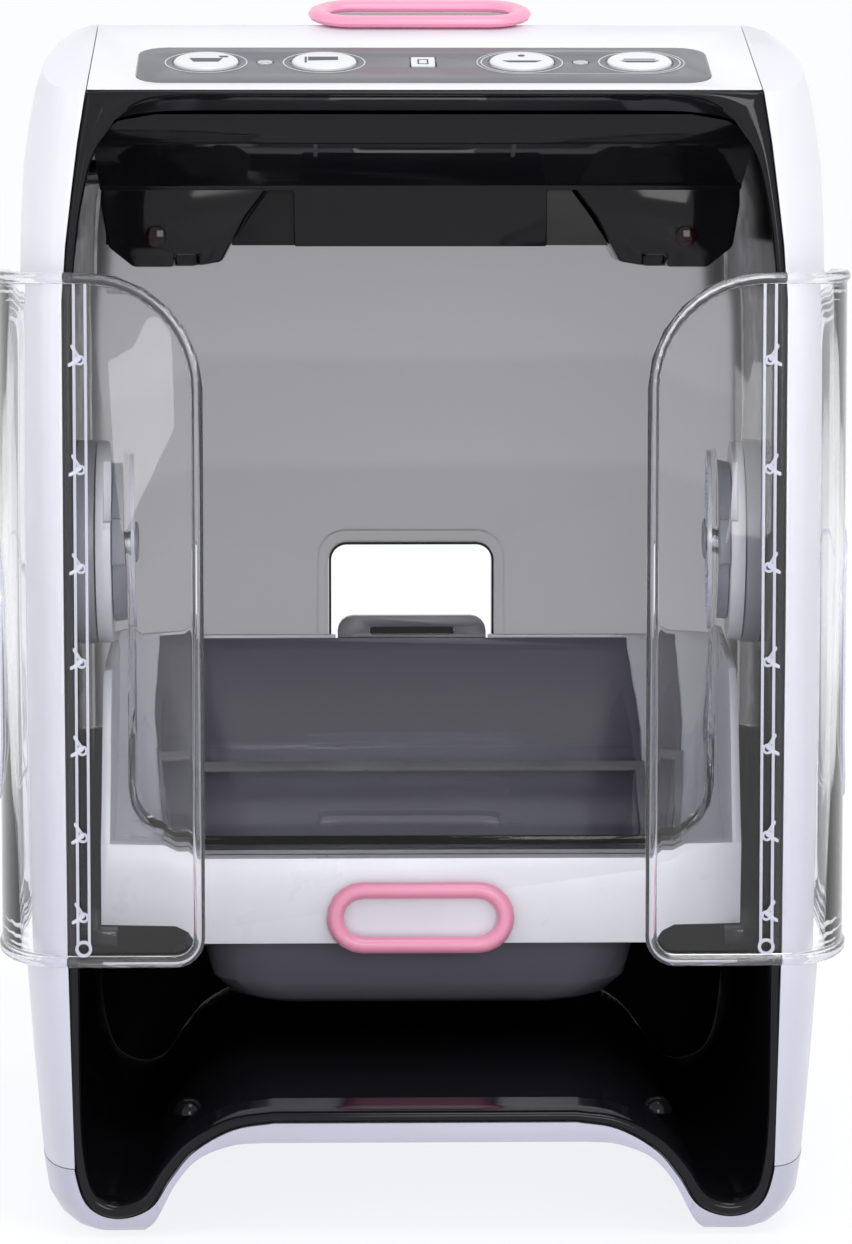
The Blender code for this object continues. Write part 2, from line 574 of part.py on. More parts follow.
lid = soft_prism("clear_lid", lid_profile(LID_R, 31.0), -LID_HALF, LID_HALF, 14.0, CLEAR)
lid.modifiers.new("flat_faces", "TRIANGULATE")
inner_pts = arc(LID_R - LID_WALL, LID_FRONT - 0.3, LID_REAR + 0.3, 14)
inner_pts += [(yd(HUB_D + 110), HUB_Z - 40), (yd(HUB_D + 110), HUB_Z + 60),
              (yd(HUB_D - 110), HUB_Z + 60), (yd(HUB_D - 90), HUB_Z - 40)]
hollow = soft_prism("lid_hollow", inner_pts, -LID_HALF + LID_WALL, LID_HALF - LID_WALL, 12.0)
boolean(lid, hollow)
boolean(lid, disc("lid_pin_hole", 4.4, "x", yd(HUB_D), HUB_Z, -125, 125, count=24))
for name, start, end, top, depth, half in (("lid_rear_band", 37.6, 39.7, 0.7, 5.6, 70.4),
                                           ("lid_finger_grip", 38.2, 39.5, 1.1, 10.5, 34.5)):
    rib = arc(LID_R - top, math.radians(start), math.radians(end), 3)
    rib += list(reversed(arc(LID_R - depth, math.radians(start), math.radians(end), 3)))
    boolean(lid, prism(name, rib, "x", -half, half), "UNION")
seal_pts = arc(LID_R + 1.7, math.radians(-21), math.radians(38), 14)
seal_pts += list(reversed(arc(LID_R + 0.4, math.radians(-21), math.radians(38), 14)))
seal = prism("lid_seal", seal_pts, "x", -75.0, 75.0, SEAL, 30)
cut_pts = arc(LID_R + 4, math.radians(-18.8), math.radians(35.8), 12)
cut_pts += list(reversed(arc(LID_R - 4, math.radians(-18.8), math.radians(35.8), 12)))
boolean(seal, prism("lid_seal_window", cut_pts, "x", -71.6, 71.6))

# ---------------------------------------------------------------- bowl carrier and bowl
carrier = prism("bowl_carrier", [(yd(TRAY_FRONT), 74.4), (yd(TRAY_FRONT), 100.2),
                                 (yd(TRAY_FRONT + 6), 107.0), (yd(80), 118.0), (yd(88), 134.0),
                                 (yd(96), 146.0), (yd(104), 152.0), (yd(128), 153.0),
                                 (yd(170), 153.4), (yd(214), 153.8),
                                 (yd(214), 140.0), (yd(204), 108.0), (yd(190), 84.0),
                                 (yd(182), 74.4)], "x", -TRAY_HALF, TRAY_HALF, TRAY)
boolean(carrier, disc("carrier_sweep_cut", SWEEP_R, "x", yd(HUB_D), HUB_Z, -92.6, 92.6, count=96))
boolean(carrier, prism("carrier_lip_cut", [(yd(40), 100.2), (yd(90), 100.2), (yd(90), 200.0),
                                           (yd(40), 200.0)], "x", -92.6, 92.6))
lower = [(yd(71.0), 60.0), (yd(71.0), 98.0)]
lower += arc(SWEEP_R + 2.6, math.radians(-18), math.radians(66), 12)
lower += [(yd(240), 150.0), (yd(240), 60.0)]
boolean(carrier, prism("carrier_under_cut", lower, "x", -92.6, 92.6))


def bowl_rings(t, low, extra):
    table = [(52.0, 52.0, 94.0, 148.0, 16.0), (54.2, 58.0, 89.0, 156.0, 18.0),
             (60.0, 63.5, 84.0, 166.0, 18.0), (74.0, 67.0, 80.4, 178.0, 18.0),
             (100.0, 71.5, 77.6, 190.0, 17.0), (125.0, 75.0, 76.6, 199.5, 15.0),
             (153.0, BOWL_HALF, 76.0, 209.5, 14.0)]
    rings = []
    if extra:
        table.append((153.0 + extra,) + table[-1][1:])
    for n, (z, half, d0, d1, r) in enumerate(table):
        z = z + low if n < 2 else z
        ring = rounded([(-(half - t), yd(d0 + t), r), (half - t, yd(d0 + t), r),
                        (half - t, yd(d1 - t), r), (-(half - t), yd(d1 - t), r)], 5)
        rings.append([(a, b, z) for a, b in ring])
    return rings


boolean(carrier, loft("carrier_bowl_cut", bowl_rings(-0.6, -1.0, 30.0)))
boolean(carrier, box("carrier_tab_notch", -25.2, 25.2, 200.0, 225.0, 148.9, 175.0))
bowl = loft("food_bowl", bowl_rings(0.0, 0.0, 0.0), BOWL, 35)
boolean(bowl, loft("bowl_hollow", bowl_rings(2.0, 2.2, 20.0)))
boolean(bowl, disc("bowl_sweep_cut", SWEEP_R - 0.5, "x", yd(HUB_D), HUB_Z, -125, 125, count=96))
boolean(bowl, box("bowl_tab_ledge", -24.3, 24.3, 207.6, 214.0, 149.6, 153.0), "UNION")
tab = rounded([(-24.5, 149.4, 1.0), (24.5, 149.4, 1.0), (24.5, 160.0, 5.0), (-24.5, 160.0, 5.0)], 4)
boolean(bowl, prism("bowl_rear_tab", tab, "y", yd(211.6), yd(216.0)), "UNION")
slot = rounded([(-14, 153.8, 1.1), (14, 153.8, 1.1), (14, 156.4, 1.1), (-14, 156.4, 1.1)], 3)
boolean(bowl, prism("bowl_tab_slot", slot, "y", yd(209.9), yd(220)))


def lip_map(a, b, n):
    return (a * MM, yd(TRAY_FRONT - 2.6 + n) * MM, (82.5 + b) * MM)


frame_loop("grip_ring_front", stadium(28.3, 10.85, 10), 2.5, 2.1, lip_map, PINK)

for side, tag in ((-1, "left"), (1, "right")):
    box("tray_rail_" + tag, *sorted((side * 90.0, side * 103.6)), 62.0, 186.0, 69.0, 74.0, BLACK)

# ---------------------------------------------------------------- rear panel with window
panel = prism("rear_panel", [(yd(REAR_PANEL_D + 2.4), PANEL_Z0), (yd(REAR_PANEL_D + 1.0), 209.0),
                             (yd(REAR_PANEL_D + 1.4), 246.0), (yd(REAR_PANEL_D + 3.0), 320.0),
                             (yd(REAR_PANEL_D + 5.4), 320.0), (yd(REAR_PANEL_D + 3.8), 246.0),
                             (yd(REAR_PANEL_D + 3.4), 209.0), (yd(REAR_PANEL_D + 4.8), PANEL_Z0)],
              "x", -110, 110, SMOKE)
trim = inset(both_sides(LINER_OUT), LINER_WALL + 0.6)
boolean(panel, prism("panel_trim", trim, "y", yd(200), yd(250)), "INTERSECT")
bulkhead = box("rear_bulkhead", -110, 110, REAR_PANEL_D + 1.0, REAR_PANEL_D + 4.0, 5.0,
               PANEL_Z0 - 0.4, BLACK)
boolean(bulkhead, prism("bulkhead_trim", trim, "y", yd(200), yd(250)), "INTERSECT")
window = rounded([(-31.0, 124.0, 8.0), (31.0, 124.0, 8.0), (31.0, 187.5, 9.0), (-31.0, 187.5, 9.0)], 5)
hole = rounded([(-27.5, 127.5, 5.0), (27.5, 127.5, 5.0), (27.5, 184.0, 6.0), (-27.5, 184.0, 6.0)], 5)
boolean(panel, prism("panel_window_rim", window, "y", yd(REAR_PANEL_D + 1.8), yd(REAR_PANEL_D + 9)),
        "UNION")
boolean(panel, prism("panel_window", hole, "y", yd(200), yd(250)))


# ---------------------------------------------------------------- clear wings
def wing_path():
    """Plan path of the left-hand wing from its inner edge round the hood corner, in (x, d)."""
    pts = [(63.0, -2.6), (98.0, -2.6)]
    for k in range(1, 9):
        t = 0.5 * math.pi * k / 8
        pts.append((103.4 + 19.2 * math.sin(t), -2.6 + 42.0 * (1 - math.cos(t))))
    pts.append((122.8, 70.0))
    lengths = [0.0]
    for a, b in zip(pts, pts[1:]):
        lengths.append(lengths[-1] + math.dist(a, b))
    return pts, lengths


def wing(name, side):
    """Clear bent panel: a rounded outline bisected at every bend, then wrapped round the path."""
    pts, lengths = wing_path()
    u_end = lengths[-1]
    corners = [(0.0, 79.4, 8.5), (u_end, 79.4, 8.0), (u_end, 277.7, 13.0), (0.0, 277.7, 33.0)]
    bm = bmesh.new()
    rings = []
    for inset_by, half_t in ((0.0, 1.2), (0.7, 1.9), (2.4, 1.9), (3.2, 1.1)):
        shape = rounded([(u + (inset_by if u == 0 else -inset_by),
                          z + (inset_by if z < 100 else -inset_by), r - inset_by)
                         for u, z, r in corners], 6)
        rings.append((shape, half_t))
    front = [[bm.verts.new((u, z, t)) for u, z in shape] for shape, t in rings]
    back = [[bm.verts.new((u, z, -t)) for u, z in shape] for shape, t in rings]
    count = len(front[0])
    order = list(reversed(back)) + front
    for a, b in zip(order, order[1:]):
        for i in range(count):
            j = (i + 1) % count
            bm.faces.new((a[i], a[j], b[j], b[i]))
    bm.faces.new(front[-1])
    bm.faces.new(back[-1])
    for u in lengths[1:-1]:
        bmesh.ops.bisect_plane(bm, geom=bm.verts[:] + bm.edges[:] + bm.faces[:],
                               plane_co=(u, 0, 0), plane_no=(1, 0, 0), dist=1e-5)
    for v in bm.verts:
        u, z, w = v.co
        k = 0
        while k < len(lengths) - 2 and u > lengths[k + 1] + 1e-4:
            k += 1
        a, b = Vector(pts[k]), Vector(pts[k + 1])
        along = (b - a).normalized()
        normal = Vector((along.y, -along.x))
        near = abs(u - lengths[k + 1]) < 1e-3 and k < len(lengths) - 2
        if near:
            nxt = (Vector(pts[k + 2]) - b).normalized()
            n2 = Vector((nxt.y, -nxt.x))
            normal = (normal + n2).normalized()
        spot = a + along * (u - lengths[k]) + normal * w
        v.co = (side * spot.x * MM, yd(spot.y) * MM, z * MM)
    return finish(name, bm, CLEAR, 40)


for side, tag in ((-1, "left"), (1, "right")):
    wing("wing_" + tag, side)

# ---------------------------------------------------------------- feet and base screws
for side, tag in ((-1, "left"), (1, "right")):
    for d, place_tag in ((34.0, "front"), (DEPTH - 34.0, "rear")):
        name = "foot_%s_%s" % (place_tag, tag)
        outline = rounded([(side * 87.0, yd(d - 11), 3.2), (side * 94.6, yd(d - 11), 3.2),
                           (side * 94.6, yd(d + 11), 3.2), (side * 87.0, yd(d + 11), 3.2)], 4)
        boolean(base, prism(name + "_pocket", inset(outline, -0.4), "z", -2.0, 2.6))
        prism(name, outline, "z", 0.0, 2.2, RUBBER, 30)
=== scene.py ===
"""Looks for the automatic pet feeder: materials, fine pieces, floor, light and camera.

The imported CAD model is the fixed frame. Lengths are in metres, apart from the edge roundings and
the section on the smooth mouth, liner and base, which are in millimetres.
"""
import math

import bmesh
import bpy
from mathutils import Euler, Matrix, Vector


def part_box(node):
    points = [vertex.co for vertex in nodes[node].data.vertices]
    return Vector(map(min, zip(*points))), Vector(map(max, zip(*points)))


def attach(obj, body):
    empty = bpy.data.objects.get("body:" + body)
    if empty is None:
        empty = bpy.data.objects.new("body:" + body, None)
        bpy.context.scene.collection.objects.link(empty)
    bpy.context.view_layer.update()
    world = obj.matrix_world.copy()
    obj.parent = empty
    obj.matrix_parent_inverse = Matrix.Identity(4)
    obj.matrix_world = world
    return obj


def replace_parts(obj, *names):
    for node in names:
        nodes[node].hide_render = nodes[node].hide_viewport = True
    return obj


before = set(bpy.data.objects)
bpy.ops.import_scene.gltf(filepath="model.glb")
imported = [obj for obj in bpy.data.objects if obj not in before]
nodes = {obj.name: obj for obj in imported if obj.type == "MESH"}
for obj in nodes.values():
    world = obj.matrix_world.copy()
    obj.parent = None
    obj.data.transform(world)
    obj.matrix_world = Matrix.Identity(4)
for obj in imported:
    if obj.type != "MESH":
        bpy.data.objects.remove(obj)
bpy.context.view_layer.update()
scene = bpy.context.scene
MM = 0.001


# ------------------------------------------------------------------ material helpers
class Shade:
    """A Principled material with short calls for the node wiring that every finish needs."""

    def __init__(self, name, **sockets):
        self.mat = bpy.data.materials.new(name)
        self.mat.use_nodes = True
        self.tree = self.mat.node_tree
        self.bsdf = self.tree.nodes["Principled BSDF"]
        self.coords = self.tree.nodes.new("ShaderNodeTexCoord")
        for socket, value in sockets.items():
            self.bsdf.inputs[socket.replace("_", " ")].default_value = value

    def node(self, kind, **props):
        made = self.tree.nodes.new(kind)
        for key, value in props.items():
            setattr(made, key, value)
        return made

    def wire(self, source, target):
        self.tree.links.new(source, target)

    def noise(self, scale, detail=3.0, stretch=(1, 1, 1), roughness=0.55):
        place = self.node("ShaderNodeMapping")
        place.inputs["Scale"].default_value = stretch
        tex = self.node("ShaderNodeTexNoise")
        tex.inputs["Scale"].default_value = scale
        tex.inputs["Detail"].default_value = detail
        tex.inputs["Roughness"].default_value = roughness
        self.wire(self.coords.outputs["Object"], place.inputs["Vector"])
        self.wire(place.outputs["Vector"], tex.inputs["Vector"])
        return tex.outputs["Fac"]

    def span(self, value, low, high, from_low=0.3, from_high=0.7):
        ranged = self.node("ShaderNodeMapRange")
        for socket, number in (("From Min", from_low), ("From Max", from_high), ("To Min", low),
                               ("To Max", high)):
            ranged.inputs[socket].default_value = number
        self.wire(value, ranged.inputs["Value"])
        return ranged.outputs["Result"]

    def colours(self, value, stops):
        ramp = self.node("ShaderNodeValToRGB")
        while len(ramp.color_ramp.elements) < len(stops):
            ramp.color_ramp.elements.new(0.5)
        for element, (at, rgb) in zip(ramp.color_ramp.elements, stops):
            element.position = at
            element.color = (rgb[0], rgb[1], rgb[2], 1.0)
        self.wire(value, ramp.inputs["Fac"])
        return ramp.outputs["Color"]

    def level(self, low, high):
        """Height in the part mapped to 0..1 between two levels in metres."""
        split = self.node("ShaderNodeSeparateXYZ")
        self.wire(self.coords.outputs["Object"], split.inputs["Vector"])
        return self.span(split.outputs["Z"], 0.0, 1.0, low, high)

    def bump(self, height, strength, distance=0.0002, after=None):
        bumped = self.node("ShaderNodeBump")
        bumped.inputs["Strength"].default_value = strength
        bumped.inputs["Distance"].default_value = distance
        self.wire(height, bumped.inputs["Height"])
        if after is not None:
            self.wire(after, bumped.inputs["Normal"])
        self.wire(bumped.outputs["Normal"], self.bsdf.inputs["Normal"])
        return bumped.outputs["Normal"]

    def feed(self, socket, value):
        self.wire(value, self.bsdf.inputs[socket])


GRAIN_SCALE = 1400.0
GRAIN_DEPTH = 0.00008
WAVE_DEPTH = 0.0008
# Heights between which a tone or a gloss changes; on the shell the change is painted shade, darker
# towards the foot.
SHELL_SHADE_HEIGHTS = (0.03, 0.30)
PANEL_HEIGHTS = (0.116, 0.322)
LINING_FADE = (0.07, 0.12)


def darker(rgb, factor):
    return tuple(channel * factor for channel in rgb)


def moulded(name, rgb, rough=(0.25, 0.36), grain=0.10, drift=0.94, **sockets):
    """Injection-moulded plastic: fine spark-eroded grain, uneven gloss and a slight colour drift."""
    shade = Shade(name, **sockets)
    broad = shade.noise(14.0, 4.0)
    shade.feed("Base Color", shade.colours(broad, [(0.3, darker(rgb, drift)), (0.7, rgb)]))
    patches = shade.noise(60.0, 5.0)
    shade.feed("Roughness", shade.span(patches, rough[0], rough[1]))
    fine = shade.noise(GRAIN_SCALE, 2.0)
    first = shade.bump(fine, grain, GRAIN_DEPTH)
    waves = shade.noise(22.0, 1.0)
    shade.bump(waves, 0.05, WAVE_DEPTH, first)
    return shade.mat


def white_with_painted_shade(name, shaded_rgb, lit_rgb):
    """Moulded white shell with painted shade: darker and bluer towards the foot than at the roof,
    where the real shell lies in shade.
    """
    shade = Shade(name, Coat_Weight=0.25, Coat_Roughness=0.12)
    mottle = shade.noise(14.0, 4.0)
    blend = shade.node("ShaderNodeMix", data_type="FLOAT")
    blend.inputs[0].default_value = 0.04
    shade.wire(shade.level(*SHELL_SHADE_HEIGHTS), blend.inputs[2])
    shade.wire(mottle, blend.inputs[3])
    shade.feed("Base Color", shade.colours(blend.outputs[0], [(0.02, shaded_rgb), (0.98, lit_rgb)]))
    shade.feed("Roughness", shade.span(shade.noise(60.0, 5.0), 0.30, 0.40))
    first = shade.bump(shade.noise(GRAIN_SCALE, 2.0), 0.06, GRAIN_DEPTH)
    shade.bump(shade.noise(22.0, 1.0), 0.05, WAVE_DEPTH, first)
    return shade.mat


def glossy(name, rgb, rough=(0.03, 0.10), **sockets):
    """Polished plastic: faint hairline scratches and handling smears over a wavy moulded face."""
    shade = Shade(name, **sockets)
    broad = shade.noise(18.0, 3.0)
    shade.feed("Base Color", shade.colours(broad, [(0.3, darker(rgb, 0.85)), (0.7, rgb)]))
    smears = shade.noise(40.0, 6.0, (1, 1, 2.6))
    shade.feed("Roughness", shade.span(smears, rough[0], rough[1], 0.35, 0.75))
    scratch = shade.noise(900.0, 3.0, (1, 1, 0.03))
    first = shade.bump(scratch, 0.04, 0.00005)
    waves = shade.noise(16.0, 1.0)
    shade.bump(waves, 0.10, 0.0012, first)
    return shade.mat


def clear(name, tint, rough=(0.01, 0.05), **sockets):
    """Clear polycarbonate: near-colourless, with flow ripples and a trace of haze."""
    shade = Shade(name, **sockets)
    haze = shade.noise(30.0, 5.0)
    shade.feed("Base Color", shade.colours(haze, [(0.3, darker(tint, 0.985)), (0.7, tint)]))
    shade.feed("Roughness", shade.span(haze, rough[0], rough[1], 0.45, 0.8))
    ripple = shade.noise(9.0, 1.0, (1, 1, 0.4))
    shade.bump(ripple, 0.08, 0.001)
    return shade.mat


def smoked(name, tint):
    """Smoked sheet with a soft haze and two faint steps of tone at set heights."""
    shade = Shade(name, Transmission_Weight=0.80, IOR=1.12)
    stops = [(0.0, darker(tint, 0.98)), (0.445, darker(tint, 0.93)), (0.46, darker(tint, 1.02)),
             (0.62, darker(tint, 0.98)), (0.635, darker(tint, 1.07)), (1.0, tint)]
    shade.feed("Base Color", shade.colours(shade.level(*PANEL_HEIGHTS), stops))
    shade.feed("Roughness", shade.span(shade.noise(26.0, 5.0), 0.30, 0.40))
    shade.bump(shade.noise(12.0, 2.0, (1, 1, 0.3)), 0.06, 0.001)
    return shade.mat


def lining(name, rgb):
    """Tunnel lining: satin black that is polished high up and dull down in the foot pockets."""
    shade = Shade(name, IOR=1.50)
    broad = shade.noise(18.0, 3.0)
    shade.feed("Base Color", shade.colours(broad, [(0.3, darker(rgb, 0.8)), (0.7, rgb)]))
    shade.feed("Roughness", shade.span(shade.noise(40.0, 6.0, (1, 1, 2.6)), 0.14, 0.26, 0.35, 0.75))
    depth = shade.node("ShaderNodeMath", operation="MULTIPLY_ADD")
    shade.wire(shade.level(*LINING_FADE), depth.inputs[0])
    depth.inputs[1].default_value = 0.10
    depth.inputs[2].default_value = 0.012
    shade.feed("Specular IOR Level", depth.outputs[0])
    shade.bump(shade.noise(16.0, 1.0), 0.10, 0.0012)
    return shade.mat


def brushed(name, rgb, direction=(1, 40, 40)):
    """Metal with fine streaks drawn along one direction."""
    shade = Shade(name, Metallic=1.0)
    streaks = shade.noise(160.0, 4.0, direction)
    shade.feed("Base Color", shade.colours(streaks, [(0.3, darker(rgb, 0.75)), (0.7, rgb)]))
    shade.feed("Roughness", shade.span(streaks, 0.22, 0.42))
    shade.bump(streaks, 0.12, 0.0001)
    return shade.mat


def rubbery(name, rgb):
    """Matt rubber with a gritty surface and a patchy bloom."""
    shade = Shade(name, IOR=1.42)
    grit = shade.noise(1100.0, 3.0)
    broad = shade.noise(35.0, 4.0)
    shade.feed("Base Color", shade.colours(broad, [(0.3, darker(rgb, 0.7)), (0.7, rgb)]))
    shade.feed("Roughness", shade.span(broad, 0.6, 0.8))
    shade.bump(grit, 0.35, 0.0001)
    return shade.mat


def circuit(name):
    """Solder mask with copper tracks showing through as a lighter maze."""
    shade = Shade(name)
    tracks = shade.node("ShaderNodeTexVoronoi", feature="DISTANCE_TO_EDGE")
    tracks.inputs["Scale"].default_value = 260.0
    shade.wire(shade.coords.outputs["Object"], tracks.inputs["Vector"])
    line = tracks.outputs["Distance"]
    copper, mask = (0.05, 0.26, 0.12), (0.01, 0.10, 0.04)
    shade.feed("Base Color", shade.colours(line, [(0.03, copper), (0.08, mask)]))
    shade.feed("Roughness", shade.span(line, 0.3, 0.5, 0.0, 0.2))
    shade.bump(line, 0.2, 0.0001)
    return shade.mat


def sleeve(name):
    """Printed cell jacket: dark body with a plain brass-coloured band at one end."""
    shade = Shade(name, Metallic=0.6)
    split = shade.node("ShaderNodeSeparateXYZ")
    shade.wire(shade.coords.outputs["Object"], split.inputs["Vector"])
    jacket, brass = (0.03, 0.035, 0.05), (0.55, 0.33, 0.12)
    past_joint = shade.span(split.outputs["X"], 0.0, 1.0, 0.008, 0.0085)
    shade.feed("Base Color", shade.colours(past_joint, [(0.45, jacket), (0.55, brass)]))
    wear = shade.noise(90.0, 4.0)
    shade.feed("Roughness", shade.span(wear, 0.25, 0.4))
    shade.bump(wear, 0.05, 0.0001)
    return shade.mat


# Hood white with painted shade: a lavender grey at the foot that fades to white at the roof.
SHELL_WHITE_PAINTED_SHADE = white_with_painted_shade("hood_white_painted_shade", (0.53, 0.53, 0.615), (0.77, 0.77, 0.81))
# Base white darkened to a lavender grey: painted shade for the base, which lies in shade low down.
BASE_WHITE_PAINTED_SHADE = moulded("base_white_painted_shade", (0.46, 0.46, 0.555), rough=(0.30, 0.40), grain=0.06,
                     Coat_Weight=0.2, Coat_Roughness=0.15)
FASCIA = moulded("fascia_white_plastic", (0.84, 0.84, 0.87), rough=(0.34, 0.42), grain=0.10)
TRAY = moulded("tray_white_plastic", (0.80, 0.80, 0.865), rough=(0.26, 0.36), grain=0.05,
               Coat_Weight=0.2, Coat_Roughness=0.15)
BLACK = glossy("gloss_black_plastic", (0.007, 0.007, 0.009), rough=(0.05, 0.13), IOR=1.50,
               Specular_IOR_Level=0.22)
DARK = lining("liner_black_plastic", (0.006, 0.006, 0.008))
GREY = moulded("hub_grey_plastic", (0.25, 0.26, 0.31), rough=(0.32, 0.42))
BOWL = moulded("bowl_grey_plastic", (0.155, 0.15, 0.185), rough=(0.28, 0.32), grain=0.04,
               drift=0.99)
LABEL = moulded("label_film", (0.135, 0.135, 0.15), rough=(0.30, 0.38), grain=0.05)
MARK = moulded("label_print_pale", (0.62, 0.63, 0.65), rough=(0.30, 0.40), grain=0.05)
ICON = moulded("key_print_dark", (0.05, 0.05, 0.06), rough=(0.35, 0.45), grain=0.05)
KEY = moulded("key_white_plastic", (0.80, 0.81, 0.82), rough=(0.28, 0.36), grain=0.05)
LENS = clear("light_lens", (0.90, 0.92, 0.95), rough=(0.15, 0.25), Transmission_Weight=0.5)
PINK = moulded("pink_plastic", (0.93, 0.35, 0.52), rough=(0.26, 0.36), grain=0.05, drift=0.92,
               Coat_Weight=0.2, Coat_Roughness=0.2)
CLEAR = clear("clear_plastic", (0.99, 0.99, 1.0), Transmission_Weight=1.0, IOR=1.38)
EDGE = clear("clear_edge", (0.96, 0.96, 0.985), Transmission_Weight=1.0, IOR=1.49)
LIDCLEAR = clear("lid_clear_plastic", (0.96, 0.96, 0.99), Transmission_Weight=1.0, IOR=1.05,
                 Coat_Weight=0.45, Coat_Roughness=0.03)
FROST = clear("frosted_clear", (0.82, 0.83, 0.92), rough=(0.12, 0.25), Transmission_Weight=0.55,
              IOR=1.49)
SMOKE = smoked("smoked_panel", (0.46, 0.45, 0.47))
RUBBER = rubbery("foot_rubber", (0.03, 0.03, 0.032))
SEAL = rubbery("lid_seal_rubber", (0.30, 0.30, 0.32))
STEEL = brushed("plain_steel", (0.56, 0.57, 0.58))
COPPER = brushed("coil_copper", (0.62, 0.28, 0.13), (30, 30, 30))
ACETAL = moulded("gear_acetal", (0.70, 0.68, 0.62), rough=(0.35, 0.45), grain=0.08)
BOARD = circuit("board_green")
CELL = sleeve("cell_sleeve")
IR = glossy("sensor_filter", (0.014, 0.002, 0.004), IOR=1.50, Specular_IOR_Level=0.25)


# ------------------------------------------------------------------ finishing of the CAD nodes
def smooth_group():
    """Geometry nodes that shade smooth and keep edges sharp above a given angle."""
    group = bpy.data.node_groups.new("smooth_by_angle", "GeometryNodeTree")
    group.interface.new_socket("Geometry", in_out="INPUT", socket_type="NodeSocketGeometry")
    group.interface.new_socket("Angle", in_out="INPUT", socket_type="NodeSocketFloat")
    group.interface.new_socket("Geometry", in_out="OUTPUT", socket_type="NodeSocketGeometry")
    enter = group.nodes.new("NodeGroupInput")
    leave = group.nodes.new("NodeGroupOutput")
    faces = group.nodes.new("GeometryNodeSetShadeSmooth")
    faces.domain = "FACE"
    edges = group.nodes.new("GeometryNodeSetShadeSmooth")
    edges.domain = "EDGE"
    edges.inputs["Shade Smooth"].default_value = False
    angle = group.nodes.new("GeometryNodeInputMeshEdgeAngle")
    above = group.nodes.new("FunctionNodeCompare")
    above.operation = "GREATER_THAN"
    link = group.links.new
    link(enter.outputs["Geometry"], faces.inputs["Geometry"])
    link(faces.outputs["Geometry"], edges.inputs["Geometry"])
    link(angle.outputs["Unsigned Angle"], above.inputs["A"])
    link(enter.outputs["Angle"], above.inputs["B"])
    link(above.outputs["Result"], edges.inputs["Selection"])
    link(edges.outputs["Geometry"], leave.inputs["Geometry"])
    return group


SMOOTH = smooth_group()
ANGLE_SOCKET = [s.identifier for s in SMOOTH.interface.items_tree if s.name == "Angle"][0]
WELD_GAP = 0.00001
SMOOTH_MARGIN = 6.0


def soften(obj, bevel, angle=32.0, segments=2):
    """Weld, round the hard edges by a bevel in millimetres and shade smooth below the angle."""
    weld = obj.modifiers.new("weld", "WELD")
    weld.merge_threshold = WELD_GAP
    if bevel:
        round_off = obj.modifiers.new("edges", "BEVEL")
        round_off.width = bevel * MM
        round_off.segments = segments
        round_off.limit_method = "ANGLE"
        round_off.angle_limit = math.radians(angle)
    smooth = obj.modifiers.new("smooth", "NODES")
    smooth.node_group = SMOOTH
    smooth[ANGLE_SOCKET] = math.radians(angle + SMOOTH_MARGIN)


def paint(obj, mat):
    """Give an object one material in place of what it had."""
    obj.data.materials.clear()
    obj.data.materials.append(mat)


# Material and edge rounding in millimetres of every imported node.
FINISH = {
    "hood_shell": (SHELL_WHITE_PAINTED_SHADE, 0.5), "base_tray": (BASE_WHITE_PAINTED_SHADE, 0.5), "battery_hatch": (SHELL_WHITE_PAINTED_SHADE, 0.4),
    "front_bezel": (BLACK, 0.35), "rear_bezel": (BLACK, 0.35), "tunnel_liner": (DARK, 0.3),
    "ceiling_housing": (BLACK, 0.5), "sensor_pod_left": (BLACK, 0.0),
    "sensor_pod_right": (BLACK, 0.0), "rear_bulkhead": (DARK, 0.3), "tray_rail_left": (BLACK, 0.4),
    "tray_rail_right": (BLACK, 0.4), "sensor_lens_left": (IR, 0.3), "sensor_lens_right": (IR, 0.3),
    "control_fascia": (FASCIA, 0.12), "control_label": (LABEL, 0.08),
    "key_pet": (KEY, 0.3), "key_training": (KEY, 0.3), "key_open": (KEY, 0.3),
    "key_close": (KEY, 0.3), "status_light_left": (LENS, 0.4), "status_light_right": (LENS, 0.4),
    "battery_window": (LENS, 0.15), "circuit_board": (BOARD, 0.1), "grip_ring_top": (PINK, 0.0),
    "grip_ring_front": (PINK, 0.0), "battery_tray": (GREY, 0.3), "cell_contact_left": (STEEL, 0.1),
    "cell_contact_right": (STEEL, 0.1), "cell_1": (CELL, 0.5), "cell_2": (CELL, 0.5),
    "cell_3": (CELL, 0.5), "cell_4": (CELL, 0.5), "antenna_coil": (COPPER, 0.0),
    "drive_gear": (ACETAL, 0.12), "idler_gear": (ACETAL, 0.12), "motor_pinion": (ACETAL, 0.12),
    "idler_shaft": (STEEL, 0.3), "gear_motor": (STEEL, 0.3), "bearing_flange_left": (GREY, 0.4),
    "bearing_flange_right": (GREY, 0.4), "hub_disc_left": (TRAY, 0.6), "hub_disc_right": (TRAY, 0.6),
    "hub_boss_left": (GREY, 0.5), "hub_boss_right": (GREY, 0.5), "hinge_pin_left": (STEEL, 0.3),
    "hinge_pin_right": (STEEL, 0.3), "clear_lid": (LIDCLEAR, 0.25), "lid_seal": (SEAL, 0.2),
    "bowl_carrier": (TRAY, 0.5), "food_bowl": (BOWL, 0.5), "rear_panel": (SMOKE, 0.3),
    "wing_left": (CLEAR, 0.3), "wing_right": (CLEAR, 0.3), "foot_front_left": (RUBBER, 0.3),
    "foot_front_right": (RUBBER, 0.3), "foot_rear_left": (RUBBER, 0.3),
    "foot_rear_right": (RUBBER, 0.3),
}
# Clear plastic casts no shadow, in place of the light that the real one lets through.
for name, (mat, bevel) in FINISH.items():
    paint(nodes[name], mat)
    soften(nodes[name], bevel)
    nodes[name].visible_shadow = mat not in (CLEAR, LIDCLEAR)


# ------------------------------------------------------------------ making new pieces
SIDES = (("left", -1), ("right", 1))


